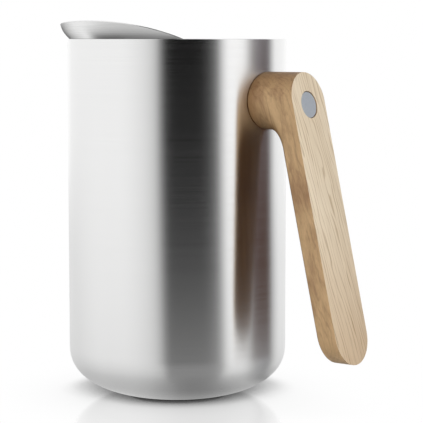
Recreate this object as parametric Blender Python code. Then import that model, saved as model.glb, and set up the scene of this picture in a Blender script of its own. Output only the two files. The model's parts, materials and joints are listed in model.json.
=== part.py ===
"""Insulated jug: a double-walled steel jug with an oak handle and a lid whose flap opens as it is tipped.

Metres, +Z up. The origin is the middle of the foot and the handle points to +X. The lid is modelled with
its spout towards -X, and then stands turned in the neck by LID_TURN.
"""

import math

import bmesh
import bpy
from mathutils import Matrix, Vector

MM = 0.001

# Clearances
SEAT_GAP = 0.3 * MM  # between two pieces that touch
SLIDE_GAP = 0.3 * MM  # between the lid and the neck that it lifts out of
PIN_GAP = 0.2 * MM  # round the hinge pin
FLAP_GAP = 1.6 * MM  # between the flap's edge and the ring
EAR_GAP = 1.0 * MM  # between the flap's back edge and the hinge ears
STOPPER_GAP = 1.0 * MM  # between the stopper's plug and the flask

# Vessel
BODY_RADIUS = 55.0 * MM
RIM_HEIGHT = 180.0 * MM
SHELL_WALL = 0.8 * MM
BASE_CURVE_WIDTH = 41.0 * MM  # radial half axis of the rounded base edge
BASE_CURVE_HEIGHT = 22.4 * MM
BASE_FLANGE = 10.0 * MM  # shell that reaches in over the pad
BASE_PLATE_WALL = 0.8 * MM
BASE_PLATE_LAP = 4.0 * MM
DIMPLE_RADIUS = 7.0 * MM
DIMPLE_DEPTH = 2.0 * MM
PUMP_PORT_RADIUS = 1.5 * MM
PLUG_MARGIN = 2.5 * MM  # from the plug to the side of the dimple
PLUG_THICKNESS = 1.2 * MM
PAD_INSET = 30.5 * MM  # from the shell's side in to the pad
PAD_THICKNESS = 2.4 * MM
PAD_EDGE = 0.6 * MM
VACUUM_GAP = 5.1 * MM
BOTTOM_GAP = 6.0 * MM
FLASK_WALL = 0.7 * MM
FLASK_CORNER = 20.0 * MM
SHOULDER_DROP = 18.0 * MM  # from the rim down to the seat of the lid
SHOULDER_RISE = 3.5 * MM
SEAT_WIDTH = 2.2 * MM
NECK_DROP = 4.0 * MM  # from the rim down to the end of the flask's neck
GETTER_REACH = 16.0 * MM
GETTER_RADIUS = 6.0 * MM
GETTER_HEIGHT = 1.2 * MM
GETTER_HOLDER_WALL = 0.5 * MM

# Handle
STEM_DROP = 29.8 * MM  # from the rim down to the stem's axis
GRIP_WIDTH = 28.0 * MM
GRIP_THICKNESS = 10.5 * MM
GRIP_REACH = 24.3 * MM  # from the shell to the bar's face, along the stem
GRIP_END_HEIGHT = 25.9 * MM  # from the floor up to the bar's lower end
GRIP_LEAN = math.radians(12.7)
GRIP_FILLET = 14.0 * MM
GRIP_INNER_EDGE = 1.2 * MM
GRIP_EDGE = 0.8 * MM
GRIP_SQUARING = 1.5  # how soon the round stem turns square round the fillet
FIXING_DROP = 1.4 * MM  # from the stem's axis down to the screw's
BOSS_RADIUS = 7.0 * MM
BOSS_LENGTH = 6.0 * MM
SCREW_RADIUS = 2.2 * MM
SCREW_GRIP = 4.0 * MM  # how far the screw goes into the boss
SCREW_HEAD_RADIUS = 4.2 * MM
SCREW_HEAD_HEIGHT = 4.0 * MM
WASHER_RADIUS = 4.9 * MM
WASHER_THICKNESS = 1.0 * MM
CAP_RADIUS = 6.3 * MM
CAP_THICKNESS = 2.6 * MM
CAP_EDGE = 0.3 * MM
LOCATING_PIN_RADIUS = 1.5 * MM
LOCATING_PIN_LENGTH = 7.0 * MM
LOCATING_PIN_WALL = 1.5 * MM  # between the boss and the pin

# Lid
SEAL_THICKNESS = 1.8 * MM
RING_WALL = 0.8 * MM
RING_HEM = 3.0 * MM
LID_TURN = math.radians(37.5)
LIP_HEIGHT = 8.8 * MM  # highest point of the lip, above the rim
LIP_CREST = 44.0 * MM  # from the axis to that point, towards the spout
LIP_ARC_RADIUS = 132.0 * MM  # of the lip's edge, seen from the side
LIP_NOTCH = 3.0 * MM  # depth below the rim of the lip's back half
LIP_FLARE = math.radians(32.0)
LIP_BULGE = 0.8  # how much of the flare comes low in the lip
SPOUT_DIP = 1.2 * MM
SPOUT_DIP_ANGLE = math.radians(10.0)
DECK_THICKNESS = 2.8 * MM
STOPPER_DEPTH = 15.5 * MM
STOPPER_WALL = 2.2 * MM
GASKET_RISE = 3.5 * MM  # from the plug's lower end up to its groove
GASKET_HEIGHT = 4.0 * MM
GASKET_DEPTH = 1.2 * MM
POUR_RADIUS = 13.0 * MM
POUR_MARGIN = 7.0 * MM  # from the pour hole to the plug's wall
VENT_RADIUS = 3.0 * MM
VENT_INSET = 20.0 * MM  # from the hinge in to the vent hole
HINGE_INSET = 18.0 * MM  # from the deck's edge in to the hinge
HINGE_PIN_RADIUS = 1.25 * MM
BARREL_RADIUS = 2.8 * MM
BARREL_LENGTH = 36.0 * MM
EAR_RADIUS = 3.6 * MM
EAR_THICKNESS = 3.5 * MM
FLAP_THICKNESS = 3.0 * MM
FLAP_SEAL_LAP = 2.0 * MM
FLAP_SEAL_THICKNESS = 1.4 * MM
FLAP_CORNER = 9.2 * MM  # cut off each end of the flap's back edge, so that it clears the ring
COVER_WALL = 0.8 * MM
COVER_SKIRT = 2.0 * MM

# Facets
ROUND_STEPS = 48
SMALL_STEPS = 24
LIP_STEPS = 60
CURVE_STEPS = 6
NECK_STEPS = 2
EAR_STEPS = 8
SHARP_ANGLE = math.radians(35)
BEVEL_ANGLE = math.radians(50)
WELD = 1e-6
CUT_OVER = 2.0 * MM  # how far a cutter runs past what it cuts

# Heights and radii that follow from the sizes above
PAD_RADIUS = BODY_RADIUS - PAD_INSET
PAD_SEAT_RADIUS = PAD_RADIUS + SEAT_GAP
BASE_OPENING_RADIUS = PAD_SEAT_RADIUS - BASE_FLANGE
RECESS_HEIGHT = PAD_THICKNESS + SEAT_GAP
BASE_PLATE_LOW = RECESS_HEIGHT + SHELL_WALL + SEAT_GAP
FLASK_LOW = BASE_PLATE_LOW + BASE_PLATE_WALL + BOTTOM_GAP
FLASK_OUTER = BODY_RADIUS - SHELL_WALL - VACUUM_GAP
FLASK_INNER = FLASK_OUTER - FLASK_WALL
NECK_OUTER = BODY_RADIUS - SHELL_WALL - SEAT_GAP
NECK_INNER = NECK_OUTER - FLASK_WALL
NECK_HIGH = RIM_HEIGHT - NECK_DROP
SEAT_HEIGHT = RIM_HEIGHT - SHOULDER_DROP
RING_OUTER = NECK_INNER - SLIDE_GAP
RING_INNER = RING_OUTER - RING_WALL
HEM_INNER = RING_OUTER - RING_HEM
LIP_REACH = NECK_OUTER + LIP_HEIGHT * math.tan(LIP_FLARE)
HEM_LOW = SEAT_HEIGHT + SEAL_THICKNESS + 2 * SEAT_GAP
DECK_LOW = HEM_LOW + RING_WALL + SEAT_GAP
DECK_HIGH = DECK_LOW + DECK_THICKNESS
DECK_RADIUS = RING_INNER - SEAT_GAP
PLUG_OUTER = FLASK_INNER - STOPPER_GAP
PLUG_INNER = PLUG_OUTER - STOPPER_WALL
PLUG_LOW = DECK_LOW - STOPPER_DEPTH
GROOVE_LOW = PLUG_LOW + GASKET_RISE
GROOVE_HIGH = GROOVE_LOW + GASKET_HEIGHT
POUR_REACH = PLUG_INNER - POUR_MARGIN - POUR_RADIUS
HINGE_REACH = DECK_RADIUS - HINGE_INSET
VENT_REACH = HINGE_REACH - VENT_INSET
FLAP_SEAL_LOW = DECK_HIGH + SEAT_GAP
FLAP_LOW = FLAP_SEAL_LOW + FLAP_SEAL_THICKNESS + SEAT_GAP
FLAP_HIGH = FLAP_LOW + FLAP_THICKNESS
HINGE_HEIGHT = FLAP_LOW + FLAP_THICKNESS / 2
COVER_LOW = FLAP_HIGH + SEAT_GAP
COVER_HIGH = COVER_LOW + COVER_WALL
COVER_RADIUS = RING_INNER - FLAP_GAP
FLAP_RADIUS = COVER_RADIUS - COVER_WALL - SEAT_GAP
FLAP_BACK = HINGE_REACH - EAR_RADIUS - EAR_GAP
EAR_INSIDE = BARREL_LENGTH / 2 + SEAT_GAP
STEM_HEIGHT = RIM_HEIGHT - STEM_DROP
FACE_REACH = BODY_RADIUS + GRIP_REACH
FIXING_HEIGHT = STEM_HEIGHT - FIXING_DROP
CAP_REACH = FACE_REACH + FIXING_DROP * math.tan(GRIP_LEAN)
CAP_DEPTH = CAP_THICKNESS / math.cos(GRIP_LEAN) + SCREW_HEAD_RADIUS * math.tan(GRIP_LEAN)
SCREW_HEAD_SEAT = CAP_REACH - CAP_DEPTH - SEAT_GAP - SCREW_HEAD_HEIGHT
WASHER_SEAT = SCREW_HEAD_SEAT - WASHER_THICKNESS - 2 * SEAT_GAP
LOCATING_PIN_RISE = BOSS_RADIUS + LOCATING_PIN_WALL + LOCATING_PIN_RADIUS

ALONG_X = Matrix.Rotation(math.pi / 2, 4, "Y")
ALONG_Y = Matrix.Rotation(-math.pi / 2, 4, "X")


def material(name, colour, roughness, metallic=0.0):
    made = bpy.data.materials.new(name)
    made.use_nodes = True
    shader = made.node_tree.nodes["Principled BSDF"]
    shader.inputs["Base Color"].default_value = (*colour, 1.0)
    shader.inputs["Roughness"].default_value = roughness
    shader.inputs["Metallic"].default_value = metallic
    return made


def add_object(name, shape, finish, place=Matrix.Identity(4)):
    """Turns the bmesh into a named object, shaded smooth except at its corners."""
    bmesh.ops.remove_doubles(shape, verts=shape.verts, dist=WELD)
    bmesh.ops.recalc_face_normals(shape, faces=shape.faces)
    mesh = bpy.data.meshes.new(name)
    shape.to_mesh(mesh)
    shape.free()
    mesh.shade_smooth()
    mesh.set_sharp_from_angle(angle=SHARP_ANGLE)
    if finish:
        mesh.materials.append(finish)
    made = bpy.data.objects.new(name, mesh)
    made.matrix_world = place
    bpy.context.scene.collection.objects.link(made)
    return made


def turned(name, profile, finish, steps=ROUND_STEPS, place=Matrix.Identity(4)):
    """Turns a profile of (radius, height) points round Z.

    A profile that starts on the axis also ends on it.
    """
    shape = bmesh.new()
    points = [shape.verts.new((radius, 0, height)) for radius, height in profile]
    pairs = list(zip(points, points[1:]))
    if profile[0][0] > 0:
        pairs.append((points[-1], points[0]))
    lines = [shape.edges.new(pair) for pair in pairs]
    bmesh.ops.spin(
        shape,
        geom=points + lines,
        cent=(0, 0, 0),
        axis=(0, 0, 1),
        angle=2 * math.pi,
        steps=steps,
        use_merge=True,
    )
    return add_object(name, shape, finish, place)


def disc(name, radius, low, high, finish, steps=SMALL_STEPS, place=Matrix.Identity(4)):
    return turned(name, [(0, low), (radius, low), (radius, high), (0, high)], finish, steps, place)


def prism(name, outline, low, high, finish, place=Matrix.Identity(4)):
    """Extrudes an outline in the XY plane from low to high."""
    shape = bmesh.new()
    face = shape.faces.new([shape.verts.new((x, y, low)) for x, y in outline])
    grown = bmesh.ops.extrude_face_region(shape, geom=[face])
    moved = [item for item in grown["geom"] if isinstance(item, bmesh.types.BMVert)]
    bmesh.ops.translate(shape, verts=moved, vec=(0, 0, high - low))
    return add_object(name, shape, finish, place)


def combine(target, other, operation):
    """Cuts the other object out of the target, or joins it on, and hides it as a helper."""
    other.hide_render = True
    other.display_type = "WIRE"
    boolean = target.modifiers.new(other.name, "BOOLEAN")
    boolean.operation = operation
    boolean.solver = "EXACT"
    boolean.object = other


def cut(target, other):
    combine(target, other, "DIFFERENCE")


def join(target, other):
    combine(target, other, "UNION")


def arc(centre, half_axes, start, end, steps):
    """Points on an ellipse, from one angle to the other."""
    points = []
    for step in range(steps + 1):
        angle = start + (end - start) * step / steps
        across = half_axes[0] * math.cos(angle)
        rise = half_axes[1] * math.sin(angle)
        points.append((centre[0] + across, centre[1] + rise))
    return points


def half_disc(radius, back, corner):
    """Outline of a round plate that is cut straight at x = back, with both corners there cut off."""
    opening = math.acos((back - corner) / radius)
    side = radius * math.sin(opening) - corner
    rim = arc((0, 0), (radius, radius), opening, 2 * math.pi - opening, ROUND_STEPS)
    return [(back, side), *rim, (back, -side)]


def outer_shell(finish):
    inner_radius = BODY_RADIUS - SHELL_WALL
    centre = (BODY_RADIUS - BASE_CURVE_WIDTH, BASE_CURVE_HEIGHT)
    outer_axes = (BASE_CURVE_WIDTH, BASE_CURVE_HEIGHT)
    inner_axes = (BASE_CURVE_WIDTH - SHELL_WALL, BASE_CURVE_HEIGHT - SHELL_WALL)
    floor_high = RECESS_HEIGHT + SHELL_WALL
    outer_end = math.acos((PAD_SEAT_RADIUS - centre[0]) / outer_axes[0])
    inner_end = math.asin((centre[1] - floor_high) / inner_axes[1])
    profile = [(inner_radius, RIM_HEIGHT), (BODY_RADIUS, RIM_HEIGHT)]
    profile += arc(centre, outer_axes, 0, -outer_end, CURVE_STEPS)
    profile += [(PAD_SEAT_RADIUS, RECESS_HEIGHT), (BASE_OPENING_RADIUS, RECESS_HEIGHT)]
    profile += [(BASE_OPENING_RADIUS, floor_high)]
    profile += arc(centre, inner_axes, -inner_end, 0, CURVE_STEPS)
    return turned("outer_shell", profile, finish)


def inner_flask(finish):
    corner_height = FLASK_LOW + FLASK_WALL + FLASK_CORNER
    centre = (FLASK_INNER - FLASK_CORNER, corner_height)
    outer_axes = (FLASK_CORNER + FLASK_WALL, FLASK_CORNER + FLASK_WALL)
    inner_axes = (FLASK_CORNER, FLASK_CORNER)
    seat_inner = NECK_INNER - SEAT_WIDTH
    slope_low = SEAT_HEIGHT - SHOULDER_RISE
    profile = [(0, FLASK_LOW)]
    profile += arc(centre, outer_axes, -math.pi / 2, 0, CURVE_STEPS)
    profile += [(FLASK_OUTER, slope_low), (seat_inner + FLASK_WALL / 2, SEAT_HEIGHT - FLASK_WALL)]
    profile += [(NECK_OUTER, SEAT_HEIGHT - FLASK_WALL), (NECK_OUTER, NECK_HIGH), (NECK_INNER, NECK_HIGH)]
    profile += [(NECK_INNER, SEAT_HEIGHT), (seat_inner, SEAT_HEIGHT), (FLASK_INNER, slope_low)]
    profile += arc(centre, inner_axes, 0, -math.pi / 2, CURVE_STEPS)
    profile += [(0, FLASK_LOW + FLASK_WALL)]
    return turned("inner_flask", profile, finish)


def base_plate(finish):
    outer = BASE_OPENING_RADIUS + BASE_PLATE_LAP
    low = BASE_PLATE_LOW
    high = low + BASE_PLATE_WALL
    slope = BASE_PLATE_WALL / 2
    profile = [(outer, high), (outer, low), (DIMPLE_RADIUS + slope, low)]
    profile += [(DIMPLE_RADIUS - slope, low + DIMPLE_DEPTH), (PUMP_PORT_RADIUS, low + DIMPLE_DEPTH)]
    profile += [(PUMP_PORT_RADIUS, high + DIMPLE_DEPTH), (DIMPLE_RADIUS - 2 * slope, high + DIMPLE_DEPTH)]
    profile += [(DIMPLE_RADIUS, high)]
    return turned("base_plate", profile, finish)


def vacuum_plug(finish):
    high = BASE_PLATE_LOW + DIMPLE_DEPTH - SEAT_GAP
    low = high - PLUG_THICKNESS
    nib = PUMP_PORT_RADIUS - SEAT_GAP
    nib_high = high + BASE_PLATE_WALL
    radius = DIMPLE_RADIUS - PLUG_MARGIN
    profile = [(0, low), (radius - PLUG_THICKNESS / 2, low), (radius, high)]
    profile += [(nib, high), (nib, nib_high), (0, nib_high)]
    return turned("vacuum_plug", profile, finish, SMALL_STEPS)


def getter(holder_finish, pellet_finish):
    place = Matrix.Translation((GETTER_REACH, 0, 0))
    high = FLASK_LOW - SEAT_GAP
    ceiling = high - GETTER_HOLDER_WALL
    low = ceiling - GETTER_HEIGHT - 2 * SEAT_GAP
    inner = GETTER_RADIUS + SEAT_GAP
    outer = inner + GETTER_HOLDER_WALL
    profile = [(0, high), (outer, high), (outer, low), (inner, low), (inner, ceiling), (0, ceiling)]
    pellet_high = ceiling - SEAT_GAP
    pellet_low = pellet_high - GETTER_HEIGHT
    return [
        turned("getter_holder", profile, holder_finish, SMALL_STEPS, place),
        disc("getter_pellet", GETTER_RADIUS, pellet_low, pellet_high, pellet_finish, place=place),
    ]


def base_pad(finish):
    profile = [(0, 0), (PAD_RADIUS - PAD_EDGE, 0), (PAD_RADIUS, PAD_EDGE)]
    profile += [(PAD_RADIUS, PAD_THICKNESS), (0, PAD_THICKNESS)]
    return turned("base_pad", profile, finish)


def grip_half_section(start, along, half_width, edge, face_point, face_normal):
    """Points of half a slice through the grip, from the middle of its inner side to the middle of its face.

    The slice starts at a point of the XZ plane and runs outwards along a direction. The stem's round top and
    the bar's flat face end it.
    """
    radius = GRIP_WIDTH / 2
    to_face = (face_point - start).dot(face_normal) / along.dot(face_normal)
    face_height = start.y + to_face * along.y
    corner = min(edge, half_width)
    slice_points = [(0.0, 0.0)]
    for step in range(CURVE_STEPS):
        turn = math.pi / 2 * step / (CURVE_STEPS - 1)
        slice_points.append((half_width - corner + corner * math.sin(turn), corner - corner * math.cos(turn)))
    rise = min(max(face_height - STEM_HEIGHT, 0.0) / radius, 1.0)
    for step in range(CURVE_STEPS):
        turn = math.asin(rise) * step / (CURVE_STEPS - 1)
        if rise > 0:
            depth = (STEM_HEIGHT + radius * math.sin(turn) - start.y) / along.y
            slice_points.append((half_width * math.cos(turn), depth))
        else:
            slice_points.append((half_width, to_face))
    slice_points.append((0.0, slice_points[-1][1]))
    return [(start.x + along.x * depth, side, start.y + along.y * depth) for side, depth in slice_points]


def grip_slices():
    """The grip's half sections, from the body along the stem, round the fillet and down the bar."""
    radius = GRIP_WIDTH / 2
    normal = Vector((math.cos(GRIP_LEAN), math.sin(GRIP_LEAN)))
    face_point = Vector((FACE_REACH, STEM_HEIGHT))
    inner_point = face_point - GRIP_THICKNESS * normal
    centre_height = STEM_HEIGHT - radius - GRIP_FILLET
    centre_drop = (centre_height - inner_point.y) * normal.y
    centre = Vector((inner_point.x - (GRIP_FILLET + centre_drop) / normal.x, centre_height))

    rays = [math.pi / 2]
    for step in range(CURVE_STEPS):
        height = STEM_HEIGHT + radius * math.cos(math.pi / 2 * step / (CURVE_STEPS - 1))
        on_face = Vector((FACE_REACH - (height - STEM_HEIGHT) * math.tan(GRIP_LEAN), height))
        rays.append(math.atan2(on_face.y - centre.y, on_face.x - centre.x))
    last_on_stem = rays[-1]
    for step in range(1, CURVE_STEPS):
        rays.append(last_on_stem + (GRIP_LEAN - last_on_stem) * step / (CURVE_STEPS - 1))

    stem_start = Vector((BODY_RADIUS - GRIP_FILLET, STEM_HEIGHT - radius))
    stations = [(stem_start, Vector((0, 1)), radius, radius)]
    for ray in rays:
        along = Vector((math.cos(ray), math.sin(ray)))
        squared = ((ray - GRIP_LEAN) / (math.pi / 2 - GRIP_LEAN)) ** GRIP_SQUARING
        edge = GRIP_INNER_EDGE + (radius - GRIP_INNER_EDGE) * squared
        stations.append((centre + GRIP_FILLET * along, along, radius, edge))
    outwards = Vector((1, 0))
    for step in range(CURVE_STEPS):
        turn = math.pi / 2 * step / (CURVE_STEPS - 1)
        height = GRIP_END_HEIGHT + radius - radius * math.sin(turn)
        start = Vector((inner_point.x + (inner_point.y - height) * math.tan(GRIP_LEAN), height))
        stations.append((start, outwards, radius * math.cos(turn), GRIP_INNER_EDGE))
    return [grip_half_section(*station, face_point, normal) for station in stations]


def handle_grip(finish, shell_space):
    shape = bmesh.new()
    rings = []
    for half in grip_slices():
        mirrored = [(x, -y, z) for x, y, z in reversed(half[1:-1])]
        rings.append([shape.verts.new(point) for point in half + mirrored])
    for ring, following in zip(rings, rings[1:]):
        for index in range(len(ring)):
            after = (index + 1) % len(ring)
            shape.faces.new((ring[index], ring[after], following[after], following[index]))
    shape.faces.new(reversed(rings[0]))
    grip = add_object("handle_grip", shape, finish)
    bevel = grip.modifiers.new("eased edges", "BEVEL")
    bevel.width = GRIP_EDGE
    bevel.segments = 1
    bevel.limit_method = "ANGLE"
    bevel.angle_limit = BEVEL_ANGLE

    cut(grip, shell_space)
    along_screw = Matrix.Translation((0, 0, FIXING_HEIGHT)) @ ALONG_X
    pocket = BOSS_RADIUS + SEAT_GAP
    pocket_end = BODY_RADIUS + BOSS_LENGTH + SEAT_GAP
    bore = SCREW_RADIUS + SEAT_GAP
    head_bore = WASHER_RADIUS + SEAT_GAP
    face_over = FACE_REACH + CUT_OVER
    profile = [(0, 0), (pocket, 0), (pocket, pocket_end), (bore, pocket_end), (bore, WASHER_SEAT)]
    profile += [(head_bore, WASHER_SEAT), (head_bore, face_over), (0, face_over)]
    cut(grip, turned("fixing bore", profile, None, SMALL_STEPS, along_screw))
    recess = CAP_RADIUS + SEAT_GAP
    cut(grip, disc("cap recess", recess, -CAP_THICKNESS - SEAT_GAP, CUT_OVER, None, place=cap_place()))
    along_pin = Matrix.Translation((0, 0, LOCATING_PIN_RISE)) @ along_screw
    pin_hole = LOCATING_PIN_RADIUS + SEAT_GAP
    pin_hole_end = BODY_RADIUS + LOCATING_PIN_LENGTH + SEAT_GAP
    cut(grip, disc("locating hole", pin_hole, 0, pin_hole_end, None, place=along_pin))
    return grip


def cap_place():
    """The cap's frame: on the bar's face in line with the screw, Z square to the face."""
    square_to_face = Matrix.Rotation(math.pi / 2 - GRIP_LEAN, 4, "Y")
    return Matrix.Translation((CAP_REACH, 0, FIXING_HEIGHT)) @ square_to_face


def handle_cap(finish):
    profile = [(0, -CAP_THICKNESS), (CAP_RADIUS, -CAP_THICKNESS), (CAP_RADIUS, -CAP_EDGE)]
    profile += [(CAP_RADIUS - CAP_EDGE, 0), (0, 0)]
    return turned("handle_cap", profile, finish, SMALL_STEPS, cap_place())


def handle_fixings(finish, shell_space):
    """Boss, locating pin, screw and washer, all along the screw's axis from the body outwards."""
    along_screw = Matrix.Translation((0, 0, FIXING_HEIGHT)) @ ALONG_X
    along_pin = Matrix.Translation((0, 0, LOCATING_PIN_RISE)) @ along_screw
    inside = BODY_RADIUS - BOSS_LENGTH
    boss_end = BODY_RADIUS + BOSS_LENGTH
    boss = disc("handle_boss", BOSS_RADIUS, inside, boss_end, finish, place=along_screw)
    cut(boss, shell_space)
    hole_start = boss_end - SCREW_GRIP - SEAT_GAP
    thread_radius = SCREW_RADIUS + SEAT_GAP
    cut(boss, disc("thread hole", thread_radius, hole_start, boss_end + CUT_OVER, None, place=along_screw))
    pin_end = BODY_RADIUS + LOCATING_PIN_LENGTH
    pin = disc("locating_pin", LOCATING_PIN_RADIUS, inside, pin_end, finish, place=along_pin)
    cut(pin, shell_space)
    tip = boss_end - SCREW_GRIP
    head_end = SCREW_HEAD_SEAT + SCREW_HEAD_HEIGHT
    profile = [(0, tip), (SCREW_RADIUS, tip), (SCREW_RADIUS, SCREW_HEAD_SEAT)]
    profile += [(SCREW_HEAD_RADIUS, SCREW_HEAD_SEAT), (SCREW_HEAD_RADIUS, head_end), (0, head_end)]
    screw = turned("handle_screw", profile, finish, SMALL_STEPS, along_screw)
    inner = SCREW_RADIUS + SEAT_GAP
    low = WASHER_SEAT + SEAT_GAP
    high = low + WASHER_THICKNESS
    washer_profile = [(WASHER_RADIUS, high), (WASHER_RADIUS, low), (inner, low), (inner, high)]
    washer = turned("handle_washer", washer_profile, finish, SMALL_STEPS, along_screw)
    return [boss, pin, screw, washer]


def lip_rise(angle):
    """Height of the lip's edge over the rim, at an angle from the spout. It is negative in the back half.

    Seen from the side the edge is one arc, with a dip at the spout. Behind the arc it runs level below
    the rim.
    """
    along = LIP_REACH * math.cos(angle) - LIP_CREST
    fall = LIP_ARC_RADIUS - math.sqrt(max(0.0, LIP_ARC_RADIUS**2 - along**2))
    turned_by = math.remainder(angle, 2 * math.pi) / SPOUT_DIP_ANGLE
    edge = LIP_HEIGHT - fall - SPOUT_DIP * math.exp(-(turned_by**2))
    softness = RING_WALL
    return (edge - LIP_NOTCH + math.sqrt((edge + LIP_NOTCH) ** 2 + softness**2)) / 2


def pouring_ring(finish):
    """Sheet ring: a hem under the deck, a skirt inside the neck and a lip that flares out over the rim."""
    shape = bmesh.new()
    rings = []
    for step in range(LIP_STEPS):
        angle = 2 * math.pi * step / LIP_STEPS
        rise = lip_rise(angle)
        edge = RIM_HEIGHT + rise
        bend = min(RIM_HEIGHT, (NECK_HIGH + edge) / 2)
        heights = [NECK_HIGH + (bend - NECK_HIGH) * index / NECK_STEPS for index in range(NECK_STEPS)]
        heights += [bend + (edge - bend) * index / (CURVE_STEPS - 1) for index in range(CURVE_STEPS)]
        outside = []
        for height in heights:
            radius = RING_OUTER + (NECK_OUTER - RING_OUTER) * min(1.0, (height - NECK_HIGH) / NECK_DROP)
            if height > RIM_HEIGHT:
                share = (height - RIM_HEIGHT) / rise
                radius += rise * math.tan(LIP_FLARE) * share * (1 + LIP_BULGE * (1 - share))
            outside.append((radius, height))
        inside = [(radius - RING_WALL, height) for radius, height in reversed(outside)]
        profile = [(HEM_INNER, HEM_LOW), (RING_OUTER, HEM_LOW), *outside, *inside]
        profile += [(RING_INNER, HEM_LOW + RING_WALL), (HEM_INNER, HEM_LOW + RING_WALL)]
        rings.append(
            [shape.verts.new((-r * math.cos(angle), -r * math.sin(angle), height)) for r, height in profile]
        )
    for ring, following in zip(rings, rings[1:] + rings[:1]):
        for index in range(len(ring)):
            after = (index + 1) % len(ring)
            shape.faces.new((ring[index], ring[after], following[after], following[index]))
    return add_object("pouring_ring", shape, finish)


def lid_seal(finish):
    low = SEAT_HEIGHT + SEAT_GAP
    high = low + SEAL_THICKNESS
    inner = NECK_INNER - SEAT_WIDTH
    return turned("lid_seal", [(RING_OUTER, high), (RING_OUTER, low), (inner, low), (inner, high)], finish)


def stopper_body(finish):
    """Deck and plug in one moulding, with hinge ears and a filler behind the hinge."""
    groove_radius = PLUG_OUTER - GASKET_DEPTH
    profile = [(0, DECK_LOW), (PLUG_INNER, DECK_LOW), (PLUG_INNER, PLUG_LOW), (PLUG_OUTER, PLUG_LOW)]
    profile += [(PLUG_OUTER, GROOVE_LOW), (groove_radius, GROOVE_LOW), (groove_radius, GROOVE_HIGH)]
    profile += [(PLUG_OUTER, GROOVE_HIGH), (PLUG_OUTER, DECK_LOW), (DECK_RADIUS, DECK_LOW)]
    profile += [(DECK_RADIUS, DECK_HIGH), (0, DECK_HIGH)]
    stopper = turned("stopper_body", profile, finish)

    root = DECK_LOW + DECK_THICKNESS / 2
    ear = [(-EAR_RADIUS, HINGE_HEIGHT - root)]
    ear += arc((0, 0), (EAR_RADIUS, EAR_RADIUS), math.pi, 2 * math.pi, EAR_STEPS)
    ear += [(EAR_RADIUS, HINGE_HEIGHT - root)]
    hinge_place = Matrix.Translation((HINGE_REACH, 0, HINGE_HEIGHT)) @ ALONG_Y
    for side, low in (("left", EAR_INSIDE), ("right", -EAR_INSIDE - EAR_THICKNESS)):
        join(stopper, prism(f"{side} ear", ear, low, low + EAR_THICKNESS, None, hinge_place))
    filler_front = HINGE_REACH + EAR_RADIUS + EAR_GAP
    filler_radius = DECK_RADIUS - SEAT_GAP
    opening = math.acos(filler_front / filler_radius)
    filler = arc((0, 0), (filler_radius, filler_radius), -opening, opening, SMALL_STEPS // 2)
    join(stopper, prism("filler", filler, root, COVER_HIGH, None))

    over = DECK_LOW - CUT_OVER
    pour = Matrix.Translation((-POUR_REACH, 0, 0))
    vent = Matrix.Translation((VENT_REACH, 0, 0))
    cut(stopper, disc("pour hole", POUR_RADIUS, over, DECK_HIGH + CUT_OVER, None, place=pour))
    cut(stopper, disc("vent hole", VENT_RADIUS, over, DECK_HIGH + CUT_OVER, None, place=vent))
    reach = EAR_INSIDE + EAR_THICKNESS + CUT_OVER
    cut(stopper, disc("ear bore", HINGE_PIN_RADIUS + PIN_GAP, -reach, reach, None, place=hinge_place))
    return stopper


def stopper_gasket(finish):
    """Ring in the plug's groove, with two lips towards the flask."""
    high = GROOVE_HIGH - SEAT_GAP
    low = GROOVE_LOW + SEAT_GAP
    inner = PLUG_OUTER - GASKET_DEPTH + SEAT_GAP
    lip = FLASK_INNER - SEAT_GAP
    middle = (low + high) / 2
    profile = [(inner, high), (PLUG_OUTER, high), (lip, (middle + high) / 2), (PLUG_OUTER, middle)]
    profile += [(lip, (low + middle) / 2), (PLUG_OUTER, low), (inner, low)]
    return turned("stopper_gasket", profile, finish)


def hinge_pin(finish):
    half = EAR_INSIDE + EAR_THICKNESS
    place = Matrix.Translation((HINGE_REACH, 0, HINGE_HEIGHT)) @ ALONG_Y
    return disc("hinge_pin", HINGE_PIN_RADIUS, -half, half, finish, place=place)


def flap_body(finish):
    """Round plate with a tongue at the back that ends in the hinge barrel."""
    half = BARREL_LENGTH / 2
    outline = half_disc(FLAP_RADIUS, FLAP_BACK, FLAP_CORNER)
    outline += [(FLAP_BACK, -half), (HINGE_REACH, -half), (HINGE_REACH, half), (FLAP_BACK, half)]
    flap = prism("flap_body", outline, FLAP_LOW, FLAP_HIGH, finish)
    place = Matrix.Translation((HINGE_REACH, 0, HINGE_HEIGHT)) @ ALONG_Y
    join(flap, disc("barrel", BARREL_RADIUS, -half, half, None, place=place))
    bore = HINGE_PIN_RADIUS + PIN_GAP
    cut(flap, disc("barrel bore", bore, -half - CUT_OVER, half + CUT_OVER, None, place=place))
    return flap


def flap_cover(finish):
    """Pressed steel cover over the flap, with a skirt round its edge but not along its back."""
    low = COVER_LOW - COVER_SKIRT
    outline = half_disc(COVER_RADIUS, FLAP_BACK, FLAP_CORNER)
    cover = prism("flap_cover", outline, low, COVER_HIGH, finish)
    hollow = half_disc(COVER_RADIUS - COVER_WALL, FLAP_BACK + CUT_OVER, FLAP_CORNER - CUT_OVER)
    cut(cover, prism("cover hollow", hollow, low - CUT_OVER, COVER_LOW, None))
    return cover


def flap_seals(finish):
    high = FLAP_SEAL_LOW + FLAP_SEAL_THICKNESS
    pour = Matrix.Translation((-POUR_REACH, 0, 0))
    vent = Matrix.Translation((VENT_REACH, 0, 0))
    return [
        disc("flap_seal", POUR_RADIUS + FLAP_SEAL_LAP, FLAP_SEAL_LOW, high, finish, place=pour),
        disc("vent_seal", VENT_RADIUS + FLAP_SEAL_LAP, FLAP_SEAL_LOW, high, finish, place=vent),
    ]


def joint_empty(name, point):
    empty = bpy.data.objects.new(name, None)
    empty.matrix_world = Matrix.Translation(point)
    bpy.context.scene.collection.objects.link(empty)
    return empty


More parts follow.
